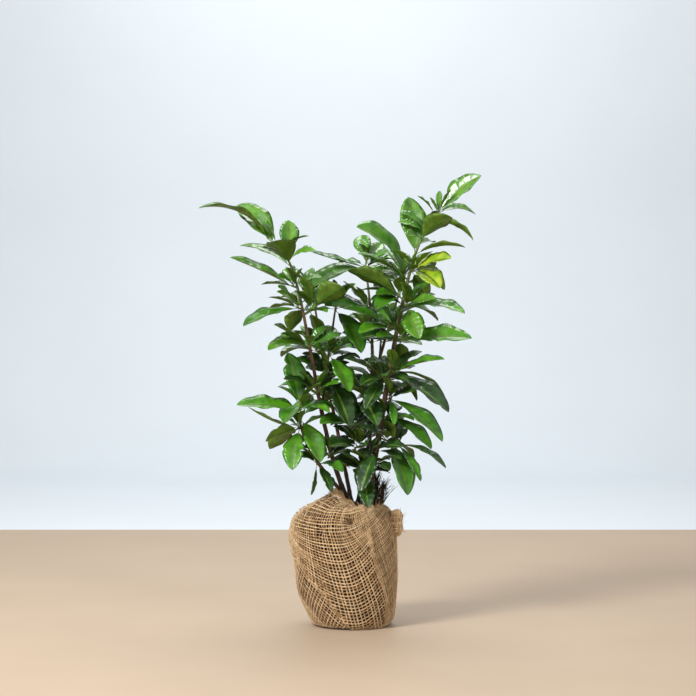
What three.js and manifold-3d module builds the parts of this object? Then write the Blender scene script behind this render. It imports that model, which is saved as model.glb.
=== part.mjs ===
// A young evergreen shrub of several stems, standing on its root ball in a burlap wrap.
// Millimetres. +X is to the right, +Y away from the front, +Z up. The origin is on the
// floor, in the flat underside of the root ball.
import * as THREE from "three";
import { mergeVertices } from "three/addons/utils/BufferGeometryUtils.js";
import Module from "manifold-3d";

const wasm = await Module();
wasm.setup();

const GAP = 0.3;
const DEGREE = Math.PI / 180;

// Root ball: rows of height, radius and the sideways shift of that ring's centre.
const BALL_ROWS = [
  [0, 74, 9],
  [7, 83, 8],
  [40, 91, 5],
  [100, 101, 0],
  [160, 106, -5],
  [200, 105, -4],
  [222, 96, -3],
  [233, 80, 2],
  [237, 61, 14],
  [237, 45, 21],
];
const BALL_SIDES = 28;
const BALL_DEPTH_SHARE = 0.97;
const SHOULDER_HEIGHT = 222;
const REST_HEIGHT = 200;
const CLOTH_THICK = 2.4;
const SOIL_CLEAR = 2;
const SOIL_TOP = 224;
const SOIL_TOP_RADIUS = 76;
const PEAK_HEADING = 215;
const PEAK_RISE = 34;
const VALLEY_HEADING = 285;
const VALLEY_DEPTH = 7;

// Knot of gathered cloth at the right shoulder of the wrap.
const KNOT_CENTRE = [98, -30, 206];
const KNOT_HALF = [13, 16, 27];
const KNOT_RINGS = 7;
const KNOT_SIDES = 12;
const KNOT_FOLD = 0.16;

// Root collar, where all the stems start.
const COLLAR_CENTRE = [22, 0];
const COLLAR_HEIGHT = 12;
const COLLAR_FLARE = 31;
const COLLAR_TOP_RADIUS = 23;
const FOOT_CIRCLE = 14.5;
const FOOT_HEIGHT = SOIL_TOP + GAP + COLLAR_HEIGHT + GAP;

const LIMB_SIDES = 7;
const LIMB_STEPS = 10;
const LIMB_TEST_STEPS = 20;

const SHOOT_SIDES = 5;
const SHOOT_STEPS = 3;
const SHOOT_FOOT_RADIUS = 1.9;
const SHOOT_TIP_RADIUS = 1.2;

// Leaf: shares are of the leaf's own length.
const LEAF_WIDTH_SHARE = 0.4;
const LEAF_THICK_SHARE = 0.02;
const LEAF_FOLD = 20 * DEGREE;
const PETIOLE = 12;
const PETIOLE_HALF_WIDTH = 1.3;
const OUTLINE_STATIONS = [0, 0.2, 0.5, 0.8];
const RULE_STATIONS = [0, 0.32, 0.7];

// The seeded rule that sets out the leaves that the outline leaves don't take.
const SPIRAL_TURN = 137.5;
const HEADING_JITTER = 18;
const RISE_AT_TIP = 55;
const RISE_AT_FOOT = 0;
const RISE_JITTER = 14;
const RULE_SIZE_SHARE = 0.25;
const RULE_DROOP = 38;
const RULE_FACE = 22;
const FACE_JITTER = 22;
const NUDGES = [0, 25, -25, 50, -50, 75, -75, 100, -100];
const RISE_NUDGES = [0, 18, -18];

// Clearances that a leaf keeps from limbs, from other leaves and from the cloth.
const LIMB_CLEAR = 1.6;
const LEAF_CLEAR = 2.2;
const CLOTH_CLEAR = 4;
const FREE_PETIOLE = 14;
const FREE_FOOT = 24;
const TEST_STATIONS = 8;
const HIDDEN_STEPS = 16;
const PETIOLE_TESTS = [6, 10, 14];

// The crown's sides: height, then how far it reaches to the left and to the right.
const CROWN_ROWS = [
  [225, -60, 70],
  [300, -120, 130],
  [400, -175, 190],
  [560, -165, 200],
  [700, -190, 190],
  [900, -190, 190],
];
const CROWN_DEPTH_SHARE = 1.15;

// Limbs are cubic curves: a foot, two handles and a tip, then the radius at foot and tip.
// A foot given as a heading stands on the collar. A foot given as a limb's name and a height
// forks from that limb.
const LIMBS = {
  stem_right: {
    foot: 340,
    handles: [[62, 4, 330], [92, 12, 600]],
    tip: [136, -5, 739],
    radii: [7.4, 2.7],
  },
  stem_middle: {
    foot: 40,
    handles: [[50, 16, 400], [62, 46, 560]],
    tip: [38, 55, 713],
    radii: [5.4, 2.0],
  },
  stem_left: {
    foot: 200,
    handles: [[-55, -16, 350], [-70, -36, 600]],
    tip: [-110, -45, 713],
    radii: [5.2, 2.3],
  },
  branch_low_left: {
    foot: 255,
    handles: [[-34, -22, 290], [-92, -38, 360]],
    tip: [-92, -44, 410],
    radii: [4.2, 2.3],
  },
  stem_back: {
    foot: 95,
    handles: [[44, 62, 360], [62, 108, 450]],
    tip: [70, 140, 560],
    radii: [4.2, 2.1],
  },
  stem_back_left: {
    foot: 147,
    handles: [[-16, 52, 380], [-52, 88, 520]],
    tip: [-66, 106, 640],
    radii: [4.4, 2.1],
  },
  stem_middle_back: {
    fork: ["stem_middle", 486],
    handles: [[64, 44, 522], [86, 84, 600]],
    tip: [112, 112, 680],
    radii: [3.8, 2.0],
  },
  stem_left_inner: {
    fork: ["stem_left", 428],
    handles: [[-45, 0, 480], [-34, 26, 560]],
    tip: [-24, 38, 629],
    radii: [3.0, 2.0],
  },
};

const AWAY = 1;
const TOWARD = -1;

// Shoots, one for each mass of foliage: the limb and the height on it where the shoot starts
// (no height is the limb's tip) and how far it grows right, back and up. `rule` is how many
// leaves the seeded rule sets, their length and the heading of the first. `leaves` are the
// ones that make the outline: place along the shoot, reach to the right and up, length,
// whether the rest of the length goes away from the front or toward it, droop in degrees,
// degrees that the face is turned to the front, and width against the usual.
const SHOOTS = [
  {
    name: "foliage_top_right", limb: "stem_right", grow: [46, -9, 84], rule: [1, 80, 130],
    leaves: [
      [1, 84, 71, 112, TOWARD, 22, 55, 1.1],
      [1, 4, 46, 55, AWAY, 5, 0, 0.6],
      [1, 24, 44, 58, TOWARD, 5, 20, 0.6],
      [0.97, 80, 2, 92, AWAY, 60, 30, 0.85],
      [0.8, 80, -40, 95, TOWARD, 60, -25, 0.8],
      [0.35, 56, 43, 100, TOWARD, 40, -20, 1.25],
      [0, -12, 119, 124, AWAY, 12, 10, 1.1],
      [0.02, 98, 10, 106, TOWARD, 40, -15, 0.65],
    ],
  },
  {
    name: "foliage_yellowing", limb: "stem_right", height: 706, grow: [6, -14, 0], rule: [0, 90, 0],
    leaves: [
      [1, 49, -37, 92, TOWARD, 45, 20, 1.3],
      [0.5, 48, 14, 88, AWAY, 60, 0, 1],
      [0.7, 73, 22, 95, TOWARD, 30, 35, 1.25],
      [0.3, 32, -57, 85, AWAY, 25, -30, 1],
      [0.2, 70, -34, 105, AWAY, 80, -60, 0.6],
    ],
  },
  {
    name: "foliage_upper_centre", limb: "stem_right", height: 690,
    grow: [-10, -4, 6], rule: [0, 90, 0],
    leaves: [
      [1, -94, 94, 144, TOWARD, 70, 48, 1.15],
      [0.5, -94, 44, 116, TOWARD, 25, 20, 0.8],
      [0.3, -34, 58, 80, AWAY, 15, 0, 0.6],
    ],
  },
  {
    name: "foliage_right_upper", limb: "stem_right", height: 634,
    grow: [14, -8, 4], rule: [2, 90, 60],
    leaves: [
      [1, 108, -18, 124, TOWARD, 28, 22, 0.9],
      [0.6, 64, -28, 92, AWAY, 45, 30, 1.1],
      [0.5, 24, -66, 92, TOWARD, 15, 30, 1.2],
    ],
  },
  {
    name: "foliage_right_upper_inner", limb: "stem_right", height: 650,
    grow: [-8, -6, 6], rule: [0, 90, 0],
    leaves: [
      [1, -104, 50, 124, TOWARD, 35, -30, 0.95],
      [0.8, -48, -28, 85, TOWARD, 40, 20, 1.1],
      [0.2, -60, 22, 85, AWAY, 20, 20, 0.9],
    ],
  },
  {
    name: "foliage_right_inner", limb: "stem_right", height: 588,
    grow: [-8, -6, 4], rule: [1, 85, 120],
    leaves: [
      [1, -100, 38, 116, TOWARD, 30, 30, 0.95],
      [0.6, -70, -10, 95, TOWARD, 35, 25, 0.9],
    ],
  },
  {
    name: "foliage_right_mid", limb: "stem_right", height: 566,
    grow: [14, -6, 4], rule: [2, 90, 70],
    leaves: [
      [1, 138, 2, 141, TOWARD, 8, 38, 1],
      [0.5, 4, -58, 82, AWAY, 30, 0, 1.2],
    ],
  },
  {
    name: "foliage_right_low", limb: "stem_right", height: 494,
    grow: [10, -4, 10], rule: [1, 90, 70],
    leaves: [
      [1, 100, 26, 112, TOWARD, 20, 22, 0.9],
      [0.8, 108, -62, 130, AWAY, 75, 0, 0.5],
      [0.1, 110, -76, 142, TOWARD, 26, 20, 1],
      [0.2, 50, -56, 90, AWAY, 35, 20, 0.9],
    ],
  },
  {
    name: "foliage_right_low_inner", limb: "stem_right", height: 490,
    grow: [-10, -8, 4], rule: [0, 85, 120],
    leaves: [
      [1, -80, 38, 102, TOWARD, 25, 20, 0.9],
      [0.6, -48, -14, 80, TOWARD, 30, 30, 1],
      [0.3, -40, -60, 95, TOWARD, 30, 20, 0.9],
    ],
  },
  {
    name: "foliage_right_hanging", limb: "stem_right", height: 450,
    grow: [10, -8, 2], rule: [0, 90, 0],
    leaves: [
      [1, 102, -84, 142, TOWARD, 26, 15, 0.9],
      [0.5, 106, -70, 136, AWAY, 30, 12, 0.8],
      [0.8, 8, -50, 75, TOWARD, 20, 0, 0.6],
    ],
  },
  {
    name: "foliage_right_hanging_low", limb: "stem_right", height: 415,
    grow: [12, -10, 0], rule: [3, 85, 60],
    leaves: [
      [1, 84, -62, 115, TOWARD, 30, 15, 0.9],
      [0.2, 34, -14, 75, AWAY, 35, 20, 1],
    ],
  },
  {
    name: "foliage_right_foot", limb: "stem_right", height: 375,
    grow: [40, -24, -14], rule: [2, 85, 80],
    leaves: [
      [1, 90, -44, 115, TOWARD, 45, 8, 0.6],
      [0.9, 44, -70, 100, TOWARD, 30, 0, 0.6],
      [0.1, 62, -40, 95, AWAY, 40, 20, 1],
      [0.4, 36, -104, 118, TOWARD, 20, 12, 1],
    ],
  },
  {
    name: "foliage_middle_top", limb: "stem_middle", grow: [2, 4, 20], rule: [1, 80, 60],
    leaves: [
      [0.9, -10, 56, 80, AWAY, 15, 20, 1.15],
      [0.7, 34, 44, 80, AWAY, 15, 30, 1],
      [0.3, -116, 30, 126, TOWARD, -6, 22, 0.6],
      [0, -110, -40, 124, TOWARD, 45, 30, 1],
      [0.1, 44, 30, 85, TOWARD, 15, 40, 1.1],
    ],
  },
  {
    name: "foliage_middle_upper", limb: "stem_middle", height: 628,
    grow: [-6, -10, 6], rule: [2, 90, 20],
    leaves: [
      [0.9, -50, 52, 90, TOWARD, 20, 25, 0.9],
      [0.6, -88, 4, 105, TOWARD, 25, 30, 1],
    ],
  },
  {
    name: "foliage_middle", limb: "stem_middle", height: 560, grow: [-6, -14, 8], rule: [4, 90, 200],
    leaves: [],
  },
  {
    name: "foliage_top_left", limb: "stem_left", grow: [-44, -4, 54], rule: [0, 80, 30],
    leaves: [
      [1, -134, 56, 154, TOWARD, 75, 8, 0.75],
      [0.8, -78, 82, 120, AWAY, 30, 40, 1.15],
      [0.35, 4, 76, 84, AWAY, 15, 20, 1.2],
      [0.05, -34, 40, 100, TOWARD, 30, -10, 1.4],
      [0, -105, 44, 122, AWAY, 35, 18, 0.8],
    ],
  },
  {
    name: "foliage_left_upper", limb: "stem_left", height: 672,
    grow: [-8, -6, 2], rule: [1, 80, 60],
    leaves: [
      [1, -122, 54, 142, TOWARD, 8, 25, 0.85],
    ],
  },
  {
    name: "foliage_left_shoulder", limb: "stem_left", height: 630,
    grow: [-8, -8, 2], rule: [1, 80, 120],
    leaves: [
      [1, -70, -16, 96, AWAY, 60, 8, 0.8],
      [0.8, -38, 38, 85, TOWARD, 30, 35, 1.1],
      [0.6, -20, -44, 85, AWAY, 25, 0, 1.1],
      [0.9, -104, -38, 136, TOWARD, 18, 14, 0.85],
    ],
  },
  {
    name: "foliage_left_heart", limb: "stem_left", height: 618,
    grow: [22, -10, 14], rule: [4, 80, 60],
    leaves: [
      [1, 56, 38, 95, TOWARD, 25, -35, 1.4],
      [0.8, -22, 62, 82, TOWARD, 25, 0, 0.8],
      [0.5, 20, -54, 85, AWAY, 15, 20, 1.1],
          ],
  },
  {
    name: "foliage_left_mid", limb: "stem_left", height: 552, grow: [-2, -10, 2], rule: [0, 90, 20],
    leaves: [
      [1, -66, 43, 100, TOWARD, 15, 22, 1],
      [0.8, -78, -6, 100, TOWARD, 50, 22, 1],
      [0.5, -74, 2, 98, AWAY, 40, 20, 1],
      [0.3, -57, -18, 95, AWAY, 35, 20, 1],
    ],
  },
  {
    name: "foliage_left_low", limb: "stem_left", height: 463, grow: [-2, -8, 2], rule: [3, 85, 340],
    leaves: [
      [0.5, -77, 12, 95, AWAY, 35, 20, 1],
    ],
  },
  {
    name: "foliage_low_left_tip", limb: "branch_low_left", grow: [0, -2, 30], rule: [0, 85, 100],
    leaves: [
      [0.9, -26, 107, 115, AWAY, 10, 20, 1],
      [0.8, -123, 8, 132, TOWARD, 16, 32, 0.9],
      [0.9, -28, -30, 85, TOWARD, 35, 0, 1.2],
      [0.7, 58, -4, 75, TOWARD, 60, 20, 0.8],
      [1, 40, 44, 78, TOWARD, 30, 20, 0.8],
      [0.1, 41, -82, 105, TOWARD, 25, 15, 1],
    ],
  },
  {
    name: "foliage_low_left_mid", limb: "branch_low_left", height: 394,
    grow: [-4, -6, 0], rule: [0, 85, 0],
    leaves: [
      [1, -104, 41, 120, AWAY, -25, -15, 0.6],
      [0.8, -64, -22, 90, TOWARD, 15, -45, 1.2],
      [0.3, -62, -44, 94, AWAY, 25, -30, 1.1],
      [0.6, -12, -78, 98, TOWARD, 25, 0, 1.15],
    ],
  },
  {
    name: "foliage_low_left_foot", limb: "branch_low_left", height: 325,
    grow: [-2, -12, -2], rule: [1, 75, 100],
    leaves: [
      [1, -12, -58, 70, TOWARD, 10, 75, 0.5],
      [0.8, 28, -52, 75, TOWARD, 25, 0, 0.9],
      [0.5, 50, -12, 80, TOWARD, 40, 20, 0.9],
    ],
  },
  {
    name: "foliage_inner_top", limb: "stem_left_inner", grow: [0, -4, 14], rule: [4, 78, 250],
    leaves: [
      [0.1, 52, -88, 115, TOWARD, 30, 15, 1.05],
    ],
  },
  {
    name: "foliage_inner_mid", limb: "stem_left_inner", height: 537,
    grow: [2, -20, 2], rule: [0, 90, 200],
    leaves: [
      [1, 40, -73, 102, TOWARD, 20, 0, 1.15],
      [0.8, -36, 52, 80, AWAY, 10, 0, 0.5],
      [0.7, 44, 16, 80, TOWARD, 30, 20, 0.9],
      [0.3, 62, -6, 90, AWAY, 35, 15, 0.9],
    ],
  },
  {
    name: "foliage_inner_low", limb: "stem_left_inner", height: 500,
    grow: [2, -8, -2], rule: [3, 90, 160],
    leaves: [
      [1, 45, -100, 125, TOWARD, 20, 5, 1.2],
    ],
  },
  {
    name: "foliage_centre", limb: "stem_middle", height: 412,
    grow: [-34, -34, -16], rule: [3, 90, 300],
    leaves: [
      [1, -67, 8, 92, TOWARD, 35, 30, 1.1],
    ],
  },
  {
    name: "foliage_centre_low", limb: "stem_middle", height: 360,
    grow: [-26, -34, -6], rule: [4, 85, 200],
    leaves: [
      [1, -52, 6, 90, TOWARD, 30, 30, 1.2],
    ],
  },
  {
    name: "foliage_heart", limb: "stem_middle", height: 450, grow: [-20, -26, 6], rule: [4, 90, 220],
    leaves: [
      [1, 30, -56, 95, TOWARD, 25, 10, 1.2],
    ],
  },
  {
    name: "foliage_low_heart", limb: "stem_left", height: 340,
    grow: [-6, -24, -4], rule: [4, 80, 210],
    leaves: [
      [0.6, 52, 8, 80, AWAY, 25, 0, 1],
    ],
  },
  {
    name: "foliage_low_right_heart", limb: "stem_right", height: 318,
    grow: [-6, -18, 0], rule: [3, 80, 30],
    leaves: [],
  },
  {
    name: "foliage_front", limb: "stem_right", height: 352, grow: [-2, -24, -4], rule: [3, 85, 200],
    leaves: [
      [1, -29, -76, 100, TOWARD, 30, 0, 1.1],
    ],
  },
  {
    name: "foliage_front_low", limb: "stem_middle", height: 305,
    grow: [-2, -28, -2], rule: [3, 75, 190],
    leaves: [
      [1, 4, -62, 100, TOWARD, 25, 0, 0.9],
    ],
  },
  {
    name: "foliage_back_left_top", limb: "stem_back_left", grow: [-6, 6, 30], rule: [6, 95, 80],
    leaves: [],
  },
  {
    name: "foliage_back_left_mid", limb: "stem_back_left", height: 540,
    grow: [-12, 14, 8], rule: [5, 95, 150],
    leaves: [],
  },
  {
    name: "foliage_back_left_low", limb: "stem_back_left", height: 430,
    grow: [-14, 12, 8], rule: [4, 90, 120],
    leaves: [],
  },
  { name: "foliage_back_top", limb: "stem_back", grow: [2, 8, 28], rule: [6, 95, 40], leaves: [] },
  {
    name: "foliage_back_mid", limb: "stem_back", height: 470, grow: [8, 16, 6], rule: [5, 95, 60],
    leaves: [],
  },
  {
    name: "foliage_back_low", limb: "stem_back", height: 370, grow: [10, 16, 4], rule: [4, 90, 20],
    leaves: [],
  },
  {
    name: "foliage_middle_back_top", limb: "stem_middle_back", grow: [4, 6, 28], rule: [6, 90, 100],
    leaves: [],
  },
  {
    name: "foliage_middle_back_mid", limb: "stem_middle_back", height: 590,
    grow: [6, 14, 8], rule: [4, 90, 60],
    leaves: [],
  },
];

// Stubs of dead twigs beside the collar: foot heading, how far each leans right, back and up.
const DRY_TWIGS = {
  dry_twig_right: { heading: 12, circle: 35, lean: [12, -10, 52], radii: [2.6, 1.3] },
  dry_twig_front: { heading: 312, circle: 35, lean: [6, -4, 40], radii: [2.2, 1.1] },
};

const LEAF_GREEN = new THREE.MeshStandardMaterial({ color: 0x3d6a1c, roughness: 0.35, metalness: 0 });
const LEAF_YELLOW = new THREE.MeshStandardMaterial({ color: 0x7f9a2a, roughness: 0.38, metalness: 0 });
const BARK = new THREE.MeshStandardMaterial({ color: 0x5c4a32, roughness: 0.75, metalness: 0 });
const DRY_WOOD = new THREE.MeshStandardMaterial({ color: 0x8a7350, roughness: 0.9, metalness: 0 });
const BURLAP = new THREE.MeshStandardMaterial({ color: 0xa9855c, roughness: 0.95, metalness: 0 });
const SOIL = new THREE.MeshStandardMaterial({ color: 0x3a2b1e, roughness: 1, metalness: 0 });

const vector = (x, y, z) => new THREE.Vector3(x, y, z);
const mix = (a, b, share) => a + (b - a) * share;
const UP = vector(0, 0, 1);

// One whole-number sequence, the same on every machine.
class Draws {
  constructor(seed) {
    this.state = seed;
    this.next();
    this.next();
  }
  next() {
    this.state = (this.state * 1664525 + 1013904223) % 4294967296;
    return this.state / 4294967296;
  }
  around(amount) {
    return (this.next() * 2 - 1) * amount;
  }
}

// Reads a table of rows [place, value, value ...] between its rows.
function tableAt(rows, place) {
  let i = 1;
  while (i < rows.length - 1 && rows[i][0] < place) i += 1;
  const low = rows[i - 1];
  const high = rows[i];
  const share = Math.min(1, Math.max(0, (place - low[0]) / (high[0] - low[0])));
  return low.slice(1).map((value, k) => mix(value, high[k + 1], share));
}

// A closed body through rings of points. A ring of one point closes to that point, and an
// open end is closed by a flat fan.
function loft(rings) {
  const position = [];
  const index = [];
  const starts = rings.map((ring) => {
    const start = position.length / 3;
    ring.forEach((p) => position.push(p.x, p.y, p.z));
    return start;
  });
  for (let r = 0; r + 1 < rings.length; r += 1) {
    const n = Math.max(rings[r].length, rings[r + 1].length);
    const low = (k) => starts[r] + (k % rings[r].length);
    const high = (k) => starts[r + 1] + (k % rings[r + 1].length);
    for (let k = 0; k < n; k += 1) {
      if (rings[r].length > 1) index.push(low(k), low(k + 1), high(k));
      if (rings[r + 1].length > 1) index.push(low(k + 1), high(k + 1), high(k));
    }
  }
  const fan = (start, n, turned) => {
    for (let k = 1; k + 1 < n; k += 1) {
      index.push(start, turned ? start + k + 1 : start + k, turned ? start + k : start + k + 1);
    }
  };
  const last = rings.length - 1;
  if (rings[0].length > 1) fan(starts[0], rings[0].length, true);
  if (rings[last].length > 1) fan(starts[last], rings[last].length, false);
  return solid(position, index);
}

// Vertices and triangles as a solid that faces outwards.
function solid(position, index) {
  const build = (triVerts) =>
    new wasm.Manifold(
      new wasm.Mesh({
        numProp: 3,
        vertProperties: new Float32Array(position),
        triVerts: new Uint32Array(triVerts),
      }),
    );
  const made = build(index);
  if (made.volume() > 0) return made;
  const turned = [];
  for (let i = 0; i < index.length; i += 3) turned.push(index[i], index[i + 2], index[i + 1]);
  return build(turned);
}

// The largest single body of a cut solid, without the scraps.
function largest(cut) {
  const bodies = cut.decompose();
  return bodies.reduce((best, body) => (body.volume() > best.volume() ? body : best), bodies[0]);
}

function meshOf(name, made, material) {
  const { numProp, vertProperties, triVerts } = made.getMesh();
  const position = [];
  for (let i = 0; i < vertProperties.length; i += numProp) {
    position.push(vertProperties[i], vertProperties[i + 1], vertProperties[i + 2]);
  }
  let geometry = new THREE.BufferGeometry();
  geometry.setAttribute("position", new THREE.Float32BufferAttribute(position, 3));
  geometry.setIndex([...triVerts]);
  geometry = mergeVertices(geometry, 1e-4);
  geometry.computeVertexNormals();
  const mesh = new THREE.Mesh(geometry, material);
  mesh.name = name;
  return mesh;
}

// Root ball

// A point on the ball's skin: `row` counts along BALL_ROWS, `out` moves it off the skin.
function skinPoint(row, heading, out) {
  const [height, radius, shift] = BALL_ROWS[row];
  const before = BALL_ROWS[Math.max(0, row - 1)];
  const after = BALL_ROWS[Math.min(BALL_ROWS.length - 1, row + 1)];
  const along = new THREE.Vector2(after[1] - before[1], after[0] - before[0]).normalize();
  const outward = row === 0 ? 1 : along.y;
  const upward = row === 0 ? -1 : -along.x;
  const rimShare = Math.max(0, (row - 6) / (BALL_ROWS.length - 7));
  const apart = (to) => Math.abs(((heading - to + 540) % 360) - 180);
  const peak = PEAK_RISE * rimShare * Math.exp(-((apart(PEAK_HEADING) / 38) ** 2));
  const valley = VALLEY_DEPTH * Math.exp(-((apart(VALLEY_HEADING) / 26) ** 2));
  const valleyShare = row === 5 || row === 6 || row === 7 ? 1 : 0;
  const lumps = height > 10 ? 1.6 * Math.sin(3 * heading * DEGREE + row) : 0;
  const r = radius + lumps * (1 - rimShare) - valley * valleyShare + outward * out;
  const z = height + peak + upward * out;
  return vector(
    shift + r * Math.cos(heading * DEGREE),
    r * Math.sin(heading * DEGREE) * BALL_DEPTH_SHARE,
    z,
  );
}

function skinRing(row, out) {
  const ring = [];
  for (let k = 0; k < BALL_SIDES; k += 1) ring.push(skinPoint(row, (360 * k) / BALL_SIDES, out));
  return ring;
}

function flatRing(ring, z) {
  return ring.map((p) => vector(p.x, p.y, z));
}

const floorPoint = (z) => vector(BALL_ROWS[0][2], 0, z);
const rows = BALL_ROWS.map((_, row) => row);

// The cloth: up the outside to the rim, and down the inside.
function burlapWrap() {
  const outside = rows.map((row) => skinRing(row, 0));
  const inside = rows.map((row) => skinRing(row, -CLOTH_THICK));
  outside[0] = flatRing(outside[0], 0);
  inside[0] = flatRing(inside[0], CLOTH_THICK);
  return loft([[floorPoint(0)], ...outside, ...inside.reverse(), [floorPoint(CLOTH_THICK)]]);
}

// The whole ball as one body, grown by `out`, for cutting other pieces clear of the cloth.
function filledBall(out) {
  const outside = rows.map((row) => skinRing(row, out));
  const rim = outside[outside.length - 1];
  const top = rim.reduce((sum, p) => sum.add(p), vector(0, 0, 0)).divideScalar(rim.length);
  return loft([[floorPoint(-out)], ...outside, [top]]);
}

function soilBall() {
  const inset = -(CLOTH_THICK + SOIL_CLEAR);
  const rings = rows
    .filter((row) => BALL_ROWS[row][0] <= SHOULDER_HEIGHT)
    .map((row) => skinRing(row, inset));
  rings[0] = flatRing(rings[0], -inset);
  const [, shift] = tableAt(BALL_ROWS, SOIL_TOP);
  const top = [];
  for (let k = 0; k < BALL_SIDES; k += 1) {
    const angle = (2 * Math.PI * k) / BALL_SIDES;
    const underValley = k > 0.68 * BALL_SIDES && k < 0.9 * BALL_SIDES;
    const reach = SOIL_TOP_RADIUS - (underValley ? 2.5 * VALLEY_DEPTH : 0);
    top.push(
      vector(shift + reach * Math.cos(angle), reach * Math.sin(angle) * BALL_DEPTH_SHARE, SOIL_TOP),
    );
  }
  return loft([[floorPoint(-inset)], ...rings, top, [vector(shift, 0, SOIL_TOP)]]);
}

// The gathered corner of the cloth: an upright bunch with folds round it.
function burlapKnot() {
  const [cx, cy, cz] = KNOT_CENTRE;
  const [hx, hy, hz] = KNOT_HALF;
  const rings = [[vector(cx, cy, cz - hz)]];
  for (let r = 1; r < KNOT_RINGS; r += 1) {
    const lift = -1 + (2 * r) / KNOT_RINGS;
    const girth = Math.sqrt(1 - lift * lift);
    const ring = [];
    for (let k = 0; k < KNOT_SIDES; k += 1) {
      const angle = (2 * Math.PI * k) / KNOT_SIDES;
      const reach = girth * (1 + KNOT_FOLD * (k % 2 === 0 ? 1 : -1));
      ring.push(
        vector(cx + hx * reach * Math.cos(angle), cy + hy * reach * Math.sin(angle), cz + hz * lift),
      );
    }
    rings.push(ring);
  }
  rings.push([vector(cx, cy, cz + hz)]);
  return largest(loft(rings).subtract(filledBall(GAP)));
}

// Stems

function circleRing(centre, side, other, radius, sides) {
  const ring = [];
  for (let k = 0; k < sides; k += 1) {
    const angle = (2 * Math.PI * k) / sides;
    ring.push(
      centre
        .clone()
        .addScaledVector(side, radius * Math.cos(angle))
        .addScaledVector(other, radius * Math.sin(angle)),
    );
  }
  return ring;
}

// A tapering limb along a curve, its first ring square to `start`. A limb that is grown for
// cutting with is thicker all round and goes that much past its tip.
function taperedLimb(curve, start, radii, sides, steps, grown) {
  const rings = [];
  let side = vector(1, 0, 0);
  for (let i = 0; i <= steps; i += 1) {
    const t = i / steps;
    const tangent = i === 0 ? start.clone().normalize() : curve.getTangent(t);
    side = side.addScaledVector(tangent, -side.dot(tangent)).normalize();
    const other = tangent.clone().cross(side);
    rings.push(circleRing(curve.getPoint(t), side, other, mix(radii[0], radii[1], t) + grown, sides));
  }
  if (grown > 0) {
    const beyond = curve.getTangent(1).multiplyScalar(grown);
    rings.push(rings[steps].map((p) => p.clone().add(beyond)));
  }
  return loft(rings);
}

const limbs = {};

// The place along a curve at a given height, by halving.
function placeAtHeight(curve, height) {
  let low = 0;
  let high = 1;
  for (let i = 0; i < 40; i += 1) {
    const middle = (low + high) / 2;
    if (curve.getPoint(middle).z < height) low = middle;
    else high = middle;
  }
  return (low + high) / 2;
}

function collarFoot(heading) {
  const [x, y] = COLLAR_CENTRE;
  const angle = heading * DEGREE;
  return vector(x + FOOT_CIRCLE * Math.cos(angle), y + FOOT_CIRCLE * Math.sin(angle), FOOT_HEIGHT);
}

function makeLimb(name, { foot, fork, handles, tip, radii }) {
  const carrier = fork ? limbs[fork[0]] : null;
  const start = carrier
    ? carrier.curve.getPoint(placeAtHeight(carrier.curve, fork[1]))
    : collarFoot(foot);
  const curve = new THREE.CubicBezierCurve3(
    start,
    vector(...handles[0]),
    vector(...handles[1]),
    vector(...tip),
  );
  const points = [];
  for (let i = 0; i <= LIMB_TEST_STEPS; i += 1) points.push(curve.getPoint(i / LIMB_TEST_STEPS));
  const upright = carrier ? curve.getTangent(0) : UP;
  let made = taperedLimb(curve, upright, radii, LIMB_SIDES, LIMB_STEPS, 0);
  if (carrier) made = largest(made.subtract(carrier.grown));
  const grown = taperedLimb(curve, upright, radii, LIMB_SIDES, LIMB_STEPS, GAP);
  limbs[name] = { name, curve, radii, points, made, grown };
  return made;
}

function rootCollar() {
  const [x, y] = COLLAR_CENTRE;
  const base = SOIL_TOP + GAP;
  const levels = [
    [0, COLLAR_FLARE],
    [0.4, mix(COLLAR_TOP_RADIUS, COLLAR_FLARE, 0.3)],
    [1, COLLAR_TOP_RADIUS],
  ];
  const sides = 14;
  return loft(
    levels.map(([share, radius]) =>
      circleRing(
        vector(x, y, base + share * COLLAR_HEIGHT), vector(1, 0, 0), vector(0, 1, 0), radius, sides,
      ),
    ),
  );
}

function dryTwig({ heading, circle, lean, radii }) {
  const [x, y] = COLLAR_CENTRE;
  const angle = heading * DEGREE;
  const foot = vector(x + circle * Math.cos(angle), y + circle * Math.sin(angle), SOIL_TOP + GAP);
  const tip = foot.clone().add(vector(...lean));
  const bend = vector(foot.x, foot.y, foot.z + lean[2] * 0.5);
  const curve = new THREE.QuadraticBezierCurve3(foot, bend, tip);
  return taperedLimb(curve, UP, radii, SHOOT_SIDES, 4, 0);
}

// Leaves

// Half the blade's width at a share of the blade, against its widest.
const bladeShape = (share) => Math.sin(Math.PI * share ** 1.1) ** 0.8;

// The leaf's frame at a share of its length: it follows an arc that leaves its base steeper
// than its chord and ends flatter, and turns about itself by its roll.
function leafFrame(leaf, share) {
  const { base, chord, droop, roll } = leaf;
  const reach = chord.length();
  const heading = Math.atan2(chord.y, chord.x);
  const rise = Math.asin(chord.z / reach);
  const arc = reach * (droop / 2 / Math.sin(droop / 2));
  const slope = rise + droop * (0.5 - share);
  const first = rise + droop * 0.5;
  const out = (arc * (Math.sin(first) - Math.sin(slope))) / droop;
  const lift = (arc * (Math.cos(slope) - Math.cos(first))) / droop;
  const point = vector(out * Math.cos(heading), out * Math.sin(heading), lift).add(base);
  const flat = vector(-Math.sin(heading), Math.cos(heading), 0);
  const raised = vector(
    -Math.sin(slope) * Math.cos(heading),
    -Math.sin(slope) * Math.sin(heading),
    Math.cos(slope),
  );
  const side = flat.clone().multiplyScalar(Math.cos(roll)).addScaledVector(raised, Math.sin(roll));
  const normal = raised.multiplyScalar(Math.cos(roll)).addScaledVector(flat, -Math.sin(roll));
  return { point, side, normal, arc };
}

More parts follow.
